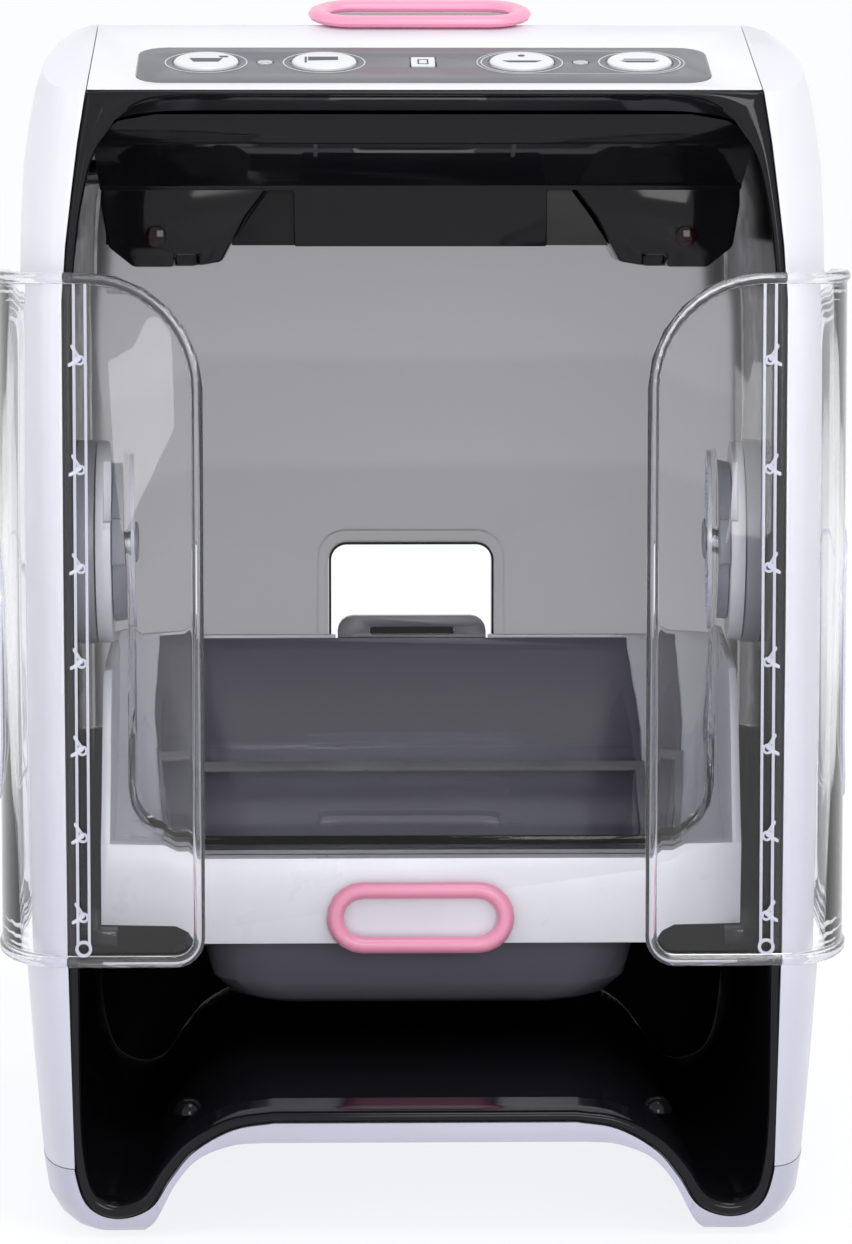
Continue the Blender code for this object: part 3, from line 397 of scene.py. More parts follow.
def piece(name, bm, mat, body, angle=35.0):
    """Turn a bmesh into a named piece with one material that rides on a body."""
    bmesh.ops.recalc_face_normals(bm, faces=bm.faces)
    if bm.calc_volume(signed=True) < 0:
        bmesh.ops.reverse_faces(bm, faces=bm.faces)
    for face in bm.faces:
        face.smooth = True
    mesh = bpy.data.meshes.new(name)
    bm.to_mesh(mesh)
    bm.free()
    mesh.set_sharp_from_angle(angle=math.radians(angle))
    obj = bpy.data.objects.new(name, mesh)
    scene.collection.objects.link(obj)
    mesh.materials.append(mat)
    obj.visible_shadow = mat not in (EDGE, FROST)
    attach(obj, body)
    return obj


def stack(bm, rows):
    """Closed body through equal rings of points."""
    rings = [[bm.verts.new(p) for p in row] for row in rows]
    count = len(rings[0])
    for low, high in zip(rings, rings[1:]):
        for i in range(count):
            j = (i + 1) % count
            bm.faces.new((low[i], low[j], high[j], high[i]))
    bm.faces.new(rings[0])
    bm.faces.new(rings[-1])


def band(bm, outer, inner, put, low, high):
    """Closed flat band between two outlines, from one height to another along a normal."""
    rows = [[bm.verts.new(put(a, b, n)) for a, b in line]
            for line, n in ((outer, low), (outer, high), (inner, high), (inner, low))]
    count = len(outer)
    for k in range(4):
        a, b = rows[k], rows[(k + 1) % 4]
        for i in range(count):
            j = (i + 1) % count
            bm.faces.new((a[i], a[j], b[j], b[i]))


def ring_points(radius, cx=0.0, cy=0.0, count=40):
    """Circle of points."""
    return [(cx + radius * math.cos(2 * math.pi * k / count),
             cy + radius * math.sin(2 * math.pi * k / count)) for k in range(count)]


def pill(half_w, half_h, cx=0.0, cy=0.0, count=14):
    """Round-ended outline, long in the first axis."""
    out = []
    for side in (1, -1):
        for k in range(count + 1):
            ang = -0.5 * math.pi + math.pi * k / count
            out.append((cx + side * (half_w - half_h + half_h * math.cos(ang)),
                        cy + side * half_h * math.sin(ang)))
    return out


def box_rows(x, y, z):
    """Rings of a plain block, low to high, from (low, high) pairs."""
    return [[(x[0], y[0], k), (x[1], y[0], k), (x[1], y[1], k), (x[0], y[1], k)] for k in z]


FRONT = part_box("front_bezel")[0].y
TOP_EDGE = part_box("front_bezel")[1].z
SLOPE = math.radians(16.0)


def on_fascia(x, s, n):
    """Point from fascia coordinates: across, up the slope, out of the surface."""
    return (x, FRONT + s * math.cos(SLOPE) - n * math.sin(SLOPE),
            TOP_EDGE + s * math.sin(SLOPE) + n * math.cos(SLOPE))


# ------------------------------------------------------------------ key panel print
KEY_ROW = 0.032
PRINT_BOTTOM = -0.00005
PRINT_TOP = 0.00004
WINDOW_TOP = 0.00012
KEY_FACE = 0.00081
KEY_PRINT_TOP = 0.00090
BATTERY_MARK_FACES = (0.00013, 0.0002)
RING_OUT = 0.01195
RING_IN = 0.01155
KEY_SPOTS = {"key_pet": -0.0625, "key_training": -0.0285, "key_open": 0.0285, "key_close": 0.0625}


def upright(half_w, low, high):
    """Plain rectangle, centred across, from a low to a high edge."""
    return [(-half_w, low), (half_w, low), (half_w, high), (-half_w, high)]


def key_panel():
    """Printed rings round the keys and the lid pair, and the battery window's face and mark."""
    bm = bmesh.new()
    for x in KEY_SPOTS.values():
        band(bm, ring_points(RING_OUT, x, KEY_ROW), ring_points(RING_IN, x, KEY_ROW), on_fascia,
             PRINT_BOTTOM, PRINT_TOP)
    pair_x = 0.0455
    band(bm, pill(0.0301, 0.0131, pair_x, KEY_ROW), pill(0.0298, 0.0128, pair_x, KEY_ROW),
         on_fascia, PRINT_BOTTOM, PRINT_TOP)
    piece("key_ring_print", bm, MARK, "housing")
    bm = bmesh.new()
    face = upright(0.0033, 0.0271, 0.0373)
    stack(bm, [[on_fascia(x, s, n) for x, s in face] for n in (0.0, WINDOW_TOP)])
    piece("battery_window_face", bm, KEY, "housing")
    bm = bmesh.new()
    band(bm, upright(0.0016, 0.0296, 0.0348), upright(0.0011, 0.0301, 0.0343), on_fascia,
         *BATTERY_MARK_FACES)
    piece("battery_mark", bm, ICON, "housing")


def key_icons():
    """Generic marks on the key caps: a bowl, a flag, and a lid shown open and shut."""
    bowl = [(-0.0048, 0.0014), (0.0048, 0.0014), (0.0036, -0.0024), (-0.0036, -0.0024)]
    flag = [(-0.0046, -0.0010), (-0.0046, 0.0030), (0.0040, 0.0030), (0.0040, -0.0004)]
    dome = [(-0.0056, -0.0012), (0.0056, -0.0012), (0.0038, -0.0030), (-0.0038, -0.0030)]
    shapes = {
        "key_pet": [bowl, [(p[0] * 0.3 + 0.005, p[1] * 0.4 + 0.0035) for p in bowl]],
        "key_training": [flag, [(-0.0056, -0.0034), (-0.0050, -0.0034), (-0.0050, 0.0030),
                                (-0.0056, 0.0030)]],
        "key_open": [dome, ring_points(0.0010, 0.0, 0.0045, 12)],
        "key_close": [dome, upright(0.0046, 0.0002, 0.0008)],
    }
    for key, outlines in shapes.items():
        bm = bmesh.new()
        for outline in outlines:
            stack(bm, [[on_fascia(KEY_SPOTS[key] + a, KEY_ROW + b, n) for a, b in outline]
                       for n in (KEY_FACE, KEY_PRINT_TOP)])
        piece(key + "_mark", bm, ICON, key + "_body")


key_panel()
key_icons()


# ------------------------------------------------------------------ clear side screens
WING_MID = FRONT - 0.0026
WING_FOOT = 0.0794
WING_TOP = 0.2777
WING_FACE = 0.0010
RAIL_FACE = 0.0018
RECESS_FACE = 0.0017
RAIL_U = 0.0346
BEAD_OUT = 0.00125
BEAD_THROUGH = 0.00165
BEAD_SIDES = 10


def wing_path():
    """Plan path of a screen from its inner edge round the hood's corner, as (x, y) points."""
    inner_x, straight_x, corner_x, flank_x = 0.063, 0.098, 0.1034, 0.1228
    across, back, steps = 0.0192, 0.042, 16
    pts = [(inner_x, WING_MID), (straight_x, WING_MID)]
    for k in range(1, steps + 1):
        t = 0.5 * math.pi * k / steps
        pts.append((corner_x + across * math.sin(t), WING_MID + back * (1 - math.cos(t))))
    pts.append((flank_x, FRONT + 0.070))
    return pts


def on_wing(side):
    """Mapping from (distance along the path, height, distance out) to a point on a screen."""
    pts = wing_path()
    marks = [0.0]
    for a, b in zip(pts, pts[1:]):
        marks.append(marks[-1] + math.dist(a, b))

    def put(u, z, n):
        k = 0
        while k < len(marks) - 2 and u > marks[k + 1]:
            k += 1
        a, b = Vector(pts[k]), Vector(pts[k + 1])
        along = (b - a).normalized()
        spot = a + along * (u - marks[k]) + Vector((along.y, -along.x)) * n
        return (side * spot.x, spot.y, z)

    return put, marks[-1]


def wing_bead(tag, put, length, body):
    """Thick polished edge that runs round the outline of a screen."""
    path = []
    steps, from_edge, longest = 12, 0.0016, 0.004
    for u, z, radius, turn in ((0.0, WING_FOOT, 0.0085, 180), (length, WING_FOOT, 0.0080, 270),
                               (length, WING_TOP, 0.0130, 0), (0.0, WING_TOP, 0.0330, 90)):
        mid = (u + radius * (1 if u == 0.0 else -1), z + radius * (1 if z == WING_FOOT else -1))
        for k in range(steps + 1):
            ang = math.radians(turn + 90 * k / steps)
            path.append((mid[0] + (radius - from_edge) * math.cos(ang),
                         mid[1] + (radius - from_edge) * math.sin(ang)))
    fine = []
    for a, b in zip(path, path[1:] + path[:1]):
        parts = max(1, int(math.dist(a, b) / longest))
        fine += [(a[0] + (b[0] - a[0]) * k / parts, a[1] + (b[1] - a[1]) * k / parts)
                 for k in range(parts)]
    bm = bmesh.new()
    rows = []
    for i, here in enumerate(fine):
        along = (Vector(fine[(i + 1) % len(fine)]) - Vector(fine[i - 1])).normalized()
        out = Vector((along.y, -along.x))
        rows.append([bm.verts.new(put(here[0] + out.x * BEAD_OUT * math.cos(t),
                                      here[1] + out.y * BEAD_OUT * math.cos(t),
                                      BEAD_THROUGH * math.sin(t)))
                     for t in (2 * math.pi * k / BEAD_SIDES for k in range(BEAD_SIDES))])
    for i, row in enumerate(rows):
        nxt = rows[(i + 1) % len(rows)]
        for k in range(BEAD_SIDES):
            j = (k + 1) % BEAD_SIDES
            bm.faces.new((row[k], row[j], nxt[j], nxt[k]))
    piece("wing_edge_" + tag, bm, EDGE, body, angle=60.0)


def wing_rail(tag, put, body):
    """Pair of slim ribs up a screen, with a ring at their foot."""
    bm = bmesh.new()
    half, foot, top = 0.0004, 0.0865, 0.2745
    for u in (0.0330, 0.0362):
        stack(bm, [[put(u - half, z, WING_FACE), put(u + half, z, WING_FACE),
                    put(u + half, z, RAIL_FACE), put(u - half, z, RAIL_FACE)] for z in (foot, top)])
    ring_z = 0.0850
    band(bm, ring_points(0.0024, RAIL_U, ring_z, 20), ring_points(0.0015, RAIL_U, ring_z, 20), put,
         WING_FACE, RAIL_FACE)
    piece("wing_rail_" + tag, bm, FROST, body)


def wing_hooks(tag, put, body):
    """Row of small hooks between the ribs: a ring with a rising and a falling barb."""
    bm = bmesh.new()
    half, thick = 0.0003, 0.0008
    for z in (0.253, 0.222, 0.194, 0.167, 0.142, 0.117, 0.094):
        for rise, run in ((0.0036, 0.0022), (-0.0018, 0.0030)):
            stack(bm, [[put(RAIL_U + t * run - half, z + t * rise, n),
                        put(RAIL_U + t * run + half, z + t * rise, n),
                        put(RAIL_U + t * run + half, z + t * rise + thick, n),
                        put(RAIL_U + t * run - half, z + t * rise + thick, n)]
                       for n, t in ((WING_FACE, 0.0), (RAIL_FACE, 1.0))])
        band(bm, ring_points(0.0015, RAIL_U, z, 12), ring_points(0.0008, RAIL_U, z, 12), put,
             WING_FACE, RAIL_FACE)
    piece("wing_hooks_" + tag, bm, FROST, body)


def wing_recess(tag, put, length, body):
    """Long upright finger recess round the corner of a screen."""
    bm = bmesh.new()
    centre_u, centre_z = length - 0.0262, 0.1625
    outer = [(centre_u + a, centre_z + b) for b, a in pill(0.0405, 0.0215)]
    inner = [(centre_u + a, centre_z + b) for b, a in pill(0.0393, 0.0203)]
    band(bm, outer, inner, put, WING_FACE, RECESS_FACE)
    piece("wing_finger_recess_" + tag, bm, FROST, body)


def wing_trim(tag, side):
    """Clip rail, hooks, polished edge and finger recess of one screen."""
    put, length = on_wing(side)
    body = tag + "_wing"
    wing_rail(tag, put, body)
    wing_hooks(tag, put, body)
    wing_bead(tag, put, length, body)
    wing_recess(tag, put, length, body)


for tag, side in SIDES:
    wing_trim(tag, side)


# ------------------------------------------------------------------ hubs and lid
PIN_RADIUS = 0.004
PIN_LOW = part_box("hinge_pin_left")[0]
HUB = Vector((0.0, PIN_LOW.y + PIN_RADIUS, PIN_LOW.z + PIN_RADIUS))
COLLAR_FACES = (0.0828, 0.0842)
RIB_FACES = (0.0829, 0.0841)


def on_hub(side):
    """Mapping from an outline about the hub axis to the same outline at a distance out."""
    return lambda a, b, n: (side * n, HUB.y + a, HUB.z + b)


def hub_trim(tag, side):
    """Ribbed collar moulded on the lid arm, and the cap over the end of the hinge pin."""
    collar = bmesh.new()
    put = on_hub(side)
    for outer, inner, count in ((0.0300, 0.0284, 64), (0.0120, 0.0104, 40)):
        band(collar, ring_points(outer, count=count), ring_points(inner, count=count), put,
             *COLLAR_FACES)
    ribs, rib_half = 36, 0.0006
    rib_in, rib_out = 0.0250, 0.0282
    for k in range(ribs):
        turn = Matrix.Rotation(2 * math.pi * k / ribs, 2)
        foot = [turn @ Vector(p) for p in ((rib_in, -rib_half), (rib_out, -rib_half),
                                           (rib_out, rib_half), (rib_in, rib_half))]
        stack(collar, [[put(p.x, p.y, n) for p in foot] for n in RIB_FACES])
    piece("hub_collar_" + tag, collar, FROST, "lid")
    cap = bmesh.new()
    rows = [[put(a, b, n) for a, b in ring_points(radius, count=32)]
            for radius, n in ((0.0068, 0.0825), (0.0068, 0.0818), (0.0055, 0.0812),
                              (0.0030, 0.0809))]
    stack(cap, rows)
    piece("hub_cap_" + tag, cap, GREY, "lid")


for tag, side in SIDES:
    hub_trim(tag, side)


# ------------------------------------------------------------------ tunnel and rear panel
def ceiling_ribs():
    """Shallow ribs across the front ledge of the ceiling housing."""
    low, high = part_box("ceiling_housing")
    bm = bmesh.new()
    half, ledge, ledge_z = 0.0006, low.y + 0.017, 0.3102
    lower = ((low.y + 0.0062, high.z - 0.0085), (ledge, ledge_z))
    upper = ((low.y + 0.0070, high.z - 0.0075), (ledge + 0.0006, ledge_z + 0.0008))
    for x in (-0.076, -0.031, 0.026, 0.072):
        stack(bm, [[(x - half, *front), (x + half, *front), (x + half, *back), (x - half, *back)]
                   for front, back in (lower, upper)])
    piece("ceiling_ribs", bm, BLACK, "housing")


def window_lining():
    """Rounded dark lip round the window of the rear panel."""
    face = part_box("rear_panel")[0].y
    outer, inner = [], []
    half, base, top, steps = 0.0275, 0.1275, 0.1840, 8
    gap, thick = 0.0001, 0.0008
    front, rear = -0.0012, 0.0070
    for cx, cz, start, radius in ((half, top, 0, 0.006), (-half, top, 90, 0.006),
                                  (-half, base, 180, 0.005), (half, base, 270, 0.005)):
        sx = -1 if cx > 0 else 1
        sz = -1 if cz == top else 1
        for k in range(steps + 1):
            ang = math.radians(start + 90 * k / steps)
            out = Vector((math.cos(ang), math.sin(ang)))
            mid = Vector((cx + sx * radius, cz + sz * radius))
            outer.append(tuple(mid + out * (radius - gap)))
            inner.append(tuple(mid + out * (radius - gap - thick)))
    bm = bmesh.new()
    band(bm, outer, inner, lambda a, b, n: (a, face + n, b), front, rear)
    piece("window_lining", bm, BLACK, "housing")


def liner_bosses():
    """Low glossy screw bosses on the shoulders of the tunnel floor, one each side of the arch."""
    for tag, side in SIDES:
        bm = bmesh.new()
        x, y, z = side * 0.0690, FRONT + 0.030, 0.0305
        rows = [[(x + a, y + b, z + rise) for a, b in ring_points(radius, count=28)]
                for radius, rise in ((0.0046, 0.0), (0.0045, 0.0010), (0.0039, 0.0024),
                                     (0.0028, 0.0036), (0.0014, 0.0043))]
        stack(bm, rows)
        piece("liner_boss_" + tag, bm, BLACK, "housing", angle=60.0)


def tab_slot_shade_block():
    """Black block behind the slot in the bowl's rear tab: painted shade, standing in for the shadow
    inside the slot.
    """
    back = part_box("food_bowl")[1].y
    bm = bmesh.new()
    stack(bm, box_rows((-0.0139, 0.0139), (back - 0.0024, back - 0.0012), (0.1539, 0.1563)))
    piece("tab_slot_painted_shade", bm, BLACK, "housing")


liner_bosses()
tab_slot_shade_block()
ceiling_ribs()
window_lining()

# ------------------------------------------------------------------ smooth mouth, liner and base
# Right-hand half of each mouth outline as (x, z), from the roof round to the arch.
BEZEL_OUT = [(60.0, 328.6), (78.0, 328.6), (88.0, 328.6), (95.4, 328.4), (97.8, 314.0),
             (99.6, 300.0), (101.4, 285.0), (102.4, 270.0), (102.4, 180.0), (102.0, 79.0),
             (100.5, 19.0), (96.5, 8.8), (89.0, 5.6), (79.6, 8.5), (73.4, 17.4), (67.0, 25.0),
             (55.4, 31.6), (43.7, 33.6)]
BEZEL_IN = [(58.0, 327.3), (72.0, 327.0), (81.0, 325.2), (87.5, 320.6), (93.2, 311.6),
            (96.8, 298.0), (98.8, 284.0), (99.6, 270.0), (99.6, 180.0), (99.2, 79.0),
            (97.7, 21.0), (94.6, 12.2), (89.0, 9.6), (81.8, 11.6), (76.0, 19.9), (69.0, 27.7),
            (56.6, 34.6), (43.7, 36.6)]
LINER_OUT = [(60.0, 325.6), (76.0, 325.2), (88.0, 323.2), (97.0, 318.5), (102.4, 311.0),
             (105.0, 302.0), (106.4, 286.0), (106.7, 270.0), (106.7, 180.0), (106.4, 79.0),
             (104.5, 24.0), (99.2, 11.6), (90.0, 7.6), (80.8, 10.6), (74.6, 19.6), (67.8, 27.8),
             (56.0, 34.2), (43.7, 36.2)]
# Underside of the arch between the feet, and the wall of the foot pockets towards it.
ARCH = [(46.9, 27.6), (55.4, 26.9), (65.4, 22.9), (71.7, 16.0), (78.0, 4.3), (82.0, -0.5),
        (83.0, -6.0)]
ARCH_WALL = [(46.9, 30.2), (56.2, 29.4), (67.0, 25.0), (73.8, 17.4), (80.2, 6.0), (81.2, 1.0)]
# Level sections as (z, half width, corner across, corner deep, set back from the mouths).
BASE = [(1.0, 101.0, 9.0, 30, 6.0), (2.6, 104.4, 9.6, 34, 3.2), (5.5, 107.6, 10.4, 36, 1.2),
        (10.0, 110.4, 11.2, 38, 0.2), (20.0, 111.9, 11.3, 38, 0.0)]
POCKET = [(4.0, 102.2, 9.0, 30, 8.0), (10.0, 106.6, 11.0, 36, 5.0), (44.0, 109.3, 11.2, 36, 5.0)]
DEPTH = 294.5
LINER_WALL = 2.2
# Index of the point in the mouth outlines that stays a sharp corner.
CORNER = 3
# Bores through the liner walls as (radius, height, from x, to x).
PIN_BORE = (7.0, 195.0, -125.0, 125.0)
SHAFT_BORE = (4.5, 306.0, -125.0, -90.0)
AXLE_D = 115.0
PAD_X = 90.8
PAD_D = 34.0
BULKHEAD_FACES = (220.6, 223.4)
BULKHEAD_TOP = 115.5
POD_FACES = (68.0, 98.0)


def finer(points, steps=6):
    """Smooth curve through the points (centripetal Catmull-Rom), keeping both ends."""
    pts = [Vector(p) for p in points]
    pts = [pts[0] * 2 - pts[1]] + pts + [pts[-1] * 2 - pts[-2]]
    out = []
    for i in range(1, len(pts) - 2):
        a, b, c, d = pts[i - 1:i + 3]
        t0, t1 = 0.0, (b - a).length ** 0.5
        t2 = t1 + (c - b).length ** 0.5
        t3 = t2 + (d - c).length ** 0.5
        for k in range(steps):
            t = t1 + (t2 - t1) * k / steps
            p = a * ((t1 - t) / (t1 - t0)) + b * ((t - t0) / (t1 - t0))
            q = b * ((t2 - t) / (t2 - t1)) + c * ((t - t1) / (t2 - t1))
            r = c * ((t3 - t) / (t3 - t2)) + d * ((t - t2) / (t3 - t2))
            u = p * ((t2 - t) / (t2 - t0)) + q * ((t - t0) / (t2 - t0))
            v = q * ((t3 - t) / (t3 - t1)) + r * ((t - t1) / (t3 - t1))
            out.append(tuple(u * ((t2 - t) / (t2 - t1)) + v * ((t - t1) / (t2 - t1))))
    out.append(tuple(pts[-2]))
    return out


def outline(half):
    """Fine right-hand half, closed over the centre plane; the sharp roof corner is kept."""
    fine = finer(half[:CORNER + 1]) + finer(half[CORNER:])[1:]
    return fine + [(-x, z) for x, z in reversed(fine)]


def inset(pts, amount):
    """Move a polygon inwards (outwards when negative) along its corner bisectors."""
    area = sum(pts[i - 1][0] * pts[i][1] - pts[i][0] * pts[i - 1][1] for i in range(len(pts)))
    sign = 1.0 if area > 0 else -1.0
    out = []
    for i, here in enumerate(pts):
        before = Vector(here) - Vector(pts[i - 1])
        after = Vector(pts[(i + 1) % len(pts)]) - Vector(here)
        n1 = Vector((-before.y, before.x)).normalized() * sign
        n2 = Vector((-after.y, after.x)).normalized() * sign
        mid = (n1 + n2).normalized()
        grow = amount / max(0.5, mid.dot(n1))
        out.append((here[0] + mid.x * grow, here[1] + mid.y * grow))
    return out


def at_depth(pts, d):
    """Outline in millimetres stood up at a depth behind the front mouth."""
    return [(x * MM, FRONT + d * MM, z * MM) for x, z in pts]


def plan(half, cx, cy, d0, d1, z, count=16):
    """Horizontal section: straight sides with elliptical plan corners."""
    ring = []
    for n, (sx, sy) in enumerate(((1, -1), (1, 1), (-1, 1), (-1, -1))):
        mid_d = d0 + cy if sy < 0 else d1 - cy
        for k in range(count + 1):
            t = 0.5 * math.pi * k / count
            if n % 2:
                t = 0.5 * math.pi - t
            ring.append((sx * (half - cx + cx * math.sin(t)) * MM,
                         FRONT + (mid_d + sy * cy * math.cos(t)) * MM, z * MM))
    return ring


def body_of(name, rows):
    """Plain lofted object, not yet a piece; used for the base and for its cutters."""
    bm = bmesh.new()
    stack(bm, rows)
    bmesh.ops.recalc_face_normals(bm, faces=bm.faces)
    mesh = bpy.data.meshes.new(name)
    bm.to_mesh(mesh)
    bm.free()
    obj = bpy.data.objects.new(name, mesh)
    scene.collection.objects.link(obj)
    return obj


def cut(obj, tool, kind="DIFFERENCE"):
    """Apply one boolean at once and throw the tool away."""
    mod = obj.modifiers.new("cut", "BOOLEAN")
    mod.operation = kind
    mod.solver = "EXACT"
    mod.object = tool
    graph = bpy.context.evaluated_depsgraph_get()
    made = bpy.data.meshes.new_from_object(obj.evaluated_get(graph))
    obj.modifiers.clear()
    obj.data = made
    bpy.data.objects.remove(tool)


def bevelled_piece(obj, mat, body, bevel):
    """Finish a cut object as a piece with one material that rides on a body."""
    paint(obj, mat)
    soften(obj, bevel, angle=30.0, segments=3)
    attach(obj, body)
    return obj


def fine_bezel(tag, flip):
    """Gloss ring round a tunnel mouth, as packed but with a flowing outline and a rounded nose."""
    out, inside, liner = outline(BEZEL_OUT), outline(BEZEL_IN), outline(LINER_OUT)
    bore = inset(liner, LINER_WALL)

    def mix(a, b, t):
        return [(p[0] + (q[0] - p[0]) * t, p[1] + (q[1] - p[1]) * t) for p, q in zip(a, b)]

    rows = [(out, 1.1), (out, 5.0), (mix(out, liner, 0.72), 11.6), (bore, 11.6),
            (mix(inside, bore, 0.4), 6.0), (inside, 1.5), (mix(inside, out, 0.10), 0.7),
            (mix(inside, out, 0.30), 0.15), (mix(inside, out, 0.5), 0.0),
            (mix(inside, out, 0.75), 0.15), (mix(inside, out, 0.93), 0.5)]
    bm = bmesh.new()
    rings = [[bm.verts.new(p) for p in at_depth(pts, DEPTH - d if flip else d)] for pts, d in rows]
    for a, b in zip(rings, rings[1:] + rings[:1]):
        for i in range(len(a)):
            j = (i + 1) % len(a)
            bm.faces.new((a[i], a[j], b[j], b[i]))
    obj = piece("bezel_" + tag, bm, BLACK, "housing", angle=50.0)
    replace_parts(obj, tag + "_bezel")


def fine_liner():
    """Tunnel lining with smooth corners and the bores for the hinge pins and the motor shaft."""
    liner = outline(LINER_OUT)
    obj = body_of("liner", [at_depth(liner, 12.0), at_depth(liner, DEPTH - 12.0)])
    bore = inset(liner, LINER_WALL)
    cut(obj, body_of("bore", [at_depth(bore, -2.0), at_depth(bore, DEPTH + 2.0)]))
    for radius, z, x0, x1 in (PIN_BORE, SHAFT_BORE):
        rows = [[(x * MM, FRONT + AXLE_D * MM + a, z * MM + b)
                 for a, b in ring_points(radius * MM, count=32)]
                for x in (x0, x1)]
        cut(obj, body_of("hole", rows))
    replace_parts(bevelled_piece(obj, DARK, "housing", 0.25), "tunnel_liner")


def fine_base():
    """Base tray with flowing feet, arch and mouth edges."""
    obj = body_of("base", [plan(h, cx, cy, f, DEPTH - f, z) for z, h, cx, cy, f in BASE])
    bridge = [[(x * MM, FRONT + d * MM, z * MM) for x, d in ((-77, 0), (77, 0), (77, DEPTH),
                                                            (-77, DEPTH))] for z in (8.0, 34.0)]
    cut(obj, body_of("bridge", bridge), "UNION")
    pocket = body_of("pocket", [plan(h, cx, cy, f, DEPTH - f, z) for z, h, cx, cy, f in POCKET])
    wall = finer(ARCH_WALL)
    wall += [(-x, z) for x, z in reversed(wall)]
    cut(pocket, body_of("keep", [at_depth(wall, -20), at_depth(wall, DEPTH + 20)]))
    cut(obj, pocket)
    mouth = inset(outline(BEZEL_OUT), -0.4)
    flare = inset(outline(BEZEL_OUT), -2.5)
    for sign, start in ((1, 0.0), (-1, DEPTH)):
        cut(obj, body_of("mouth", [at_depth(mouth, start - sign * 6.0),
                                   at_depth(mouth, start + sign * 2.6),
                                   at_depth(flare, start + sign * 9.0),
                                   at_depth(flare, start + sign * 13.0)]))
    arch = finer(ARCH)
    arch += [(-x, z) for x, z in reversed(arch)]
    cut(obj, body_of("arch", [at_depth(arch, -20), at_depth(arch, DEPTH + 20)]))
    for side in (-1, 1):
        for d in (PAD_D, DEPTH - PAD_D):
            slot = pill(11.4, 4.2, d, side * PAD_X)
            cut(obj, body_of("slot", [[(b * MM, FRONT + a * MM, z * MM) for a, b in slot]
                                      for z in (-2.0, 2.6)]))
    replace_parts(bevelled_piece(obj, BASE_WHITE_PAINTED_SHADE, "housing", 0.5), "base_tray")


def fine_bulkhead():
    """Black wall below the rear panel, cut to the flowing outline so that no light leaks past."""
    clearance, straight_z = 0.03, 110.0
    run = [p for p in inset(outline(LINER_OUT), LINER_WALL + clearance) if p[1] < straight_z]
    edge = run[0][0]
    run = [(edge, BULKHEAD_TOP)] + run + [(-edge, BULKHEAD_TOP)]
    bm = bmesh.new()
    stack(bm, [at_depth(run, d) for d in BULKHEAD_FACES])
    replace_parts(piece("bulkhead_wall", bm, DARK, "housing"), "rear_bulkhead")


def ceiling_fill():
    """Dark flanks that close the space between the sensor pods and the ceiling housing."""
    for tag, side in SIDES:
        flank = [(37.6, 311.2), (37.6, 284.3), (56.0, 284.3), (50.5, 293.0), (38.6, 309.0)]
        bm = bmesh.new()
        stack(bm, [at_depth([(side * x, z) for x, z in flank], d) for d in POD_FACES])
        piece("pod_flank_" + tag, bm, DARK, "housing")


for tag, flip in (("front", False), ("rear", True)):
    fine_bezel(tag, flip)
fine_liner()
fine_base()
fine_bulkhead()
ceiling_fill()


# ------------------------------------------------------------------ floor, light and camera
def stage_material(name, rgb, strength):
    """Pale matt surface with a faint mottle and a little light of its own."""
    shade = Shade(name, Roughness=0.9)
    mottle = shade.noise(1.5, 3.0)
    paper = darker(rgb, 1.0 - strength)
    shade.feed("Base Color", shade.colours(mottle, [(0.3, darker(paper, 0.985)), (0.7, paper)]))
    shade.bsdf.inputs["Emission Color"].default_value = (*rgb, 1.0)
    shade.bsdf.inputs["Emission Strength"].default_value = strength
    return shade.mat


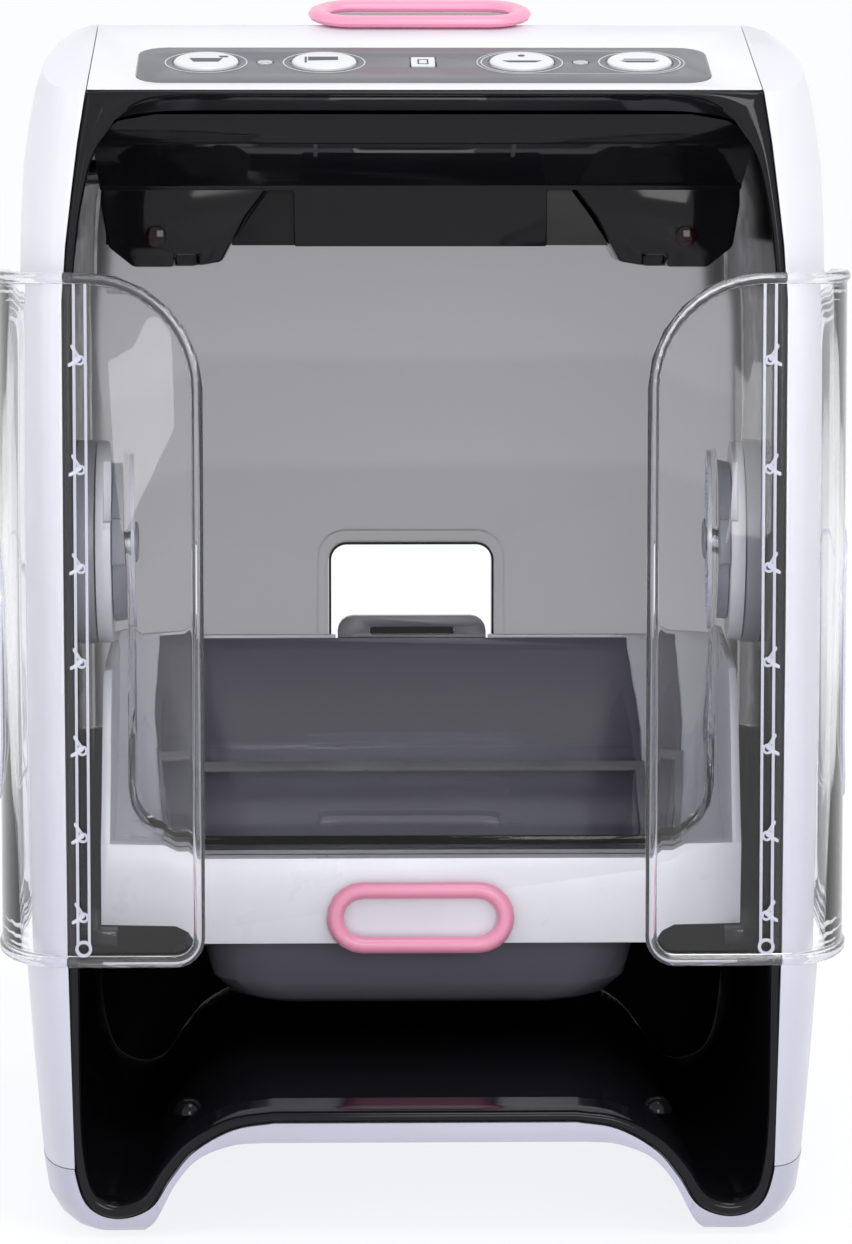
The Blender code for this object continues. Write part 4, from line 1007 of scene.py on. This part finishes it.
def cyclorama():
    """One continuous sweep of floor and backdrop, wide enough to fill every view."""
    mesh = bpy.data.meshes.new("floor")
    bm = bmesh.new()
    floor_z = -0.0004
    sides = 64
    rows = []
    for radius, height in ((1.5, 0.0), (3.2, 0.0), (4.2, 0.3), (4.9, 1.0), (5.2, 4.5)):
        rows.append([bm.verts.new((a, b, floor_z + height))
                     for a, b in ring_points(radius, count=sides)])
    centre = bm.verts.new((0.0, 0.0, floor_z))
    for k in range(sides):
        bm.faces.new((centre, rows[0][k], rows[0][(k + 1) % sides]))
    for low, high in zip(rows, rows[1:]):
        for k in range(sides):
            j = (k + 1) % sides
            bm.faces.new((low[k], high[k], high[j], low[j]))
    for face in bm.faces:
        face.smooth = True
    bm.to_mesh(mesh)
    bm.free()
    obj = bpy.data.objects.new("floor", mesh)
    scene.collection.objects.link(obj)
    mesh.materials.append(stage_material("floor_paper", (0.97, 0.975, 0.985), 0.8))


def softbox(name, place, aim, size, watts, colour=(1.0, 1.0, 1.0)):
    """Rectangular soft light at a place, turned to face a point."""
    lamp = bpy.data.lights.new(name, "AREA")
    lamp.shape = "RECTANGLE"
    lamp.size, lamp.size_y = size
    lamp.energy = watts
    lamp.color = colour
    obj = bpy.data.objects.new(name, lamp)
    scene.collection.objects.link(obj)
    obj.location = place
    obj.rotation_euler = (Vector(aim) - Vector(place)).to_track_quat("-Z", "Y").to_euler()


def world_light(strength):
    """Even, slightly cool light from all round."""
    world = bpy.data.worlds.new("studio")
    scene.world = world
    world.use_nodes = True
    back = world.node_tree.nodes["Background"]
    back.inputs["Color"].default_value = (0.94, 0.95, 1.0, 1.0)
    back.inputs["Strength"].default_value = strength


def camera():
    """View from 0.30 m up, a little left of centre and tipped 5.5 degrees down."""
    cam = bpy.data.cameras.new("camera")
    cam.sensor_fit = "VERTICAL"
    cam.sensor_height = 36.0
    cam.lens = 133.64
    cam.clip_end = 50.0
    obj = bpy.data.objects.new("camera", cam)
    scene.collection.objects.link(obj)
    obj.location = (-0.0277, -1.4549, 0.3037)
    obj.rotation_euler = Euler((math.radians(90.0 - 5.47), 0.0, math.radians(-1.221)))
    scene.camera = obj


scene.view_settings.view_transform = "Standard"
cyclorama()
world_light(0.84)
softbox("top", (0.35, -0.9, 2.0), (0.0, -0.05, 0.25), (0.8, 0.8), 9.0)
softbox("key", (0.25, -1.9, 0.50), (0.0, 0.0, 0.12), (0.5, 0.5), 5.0)
softbox("fill", (-1.6, -1.2, 0.9), (0.0, 0.0, 0.2), (0.8, 1.4), 2.0, (0.86, 0.86, 1.0))
softbox("back", (0.0, 1.4, 2.4), (0.0, 0.3, 0.3), (2.0, 1.2), 2.0)
camera()
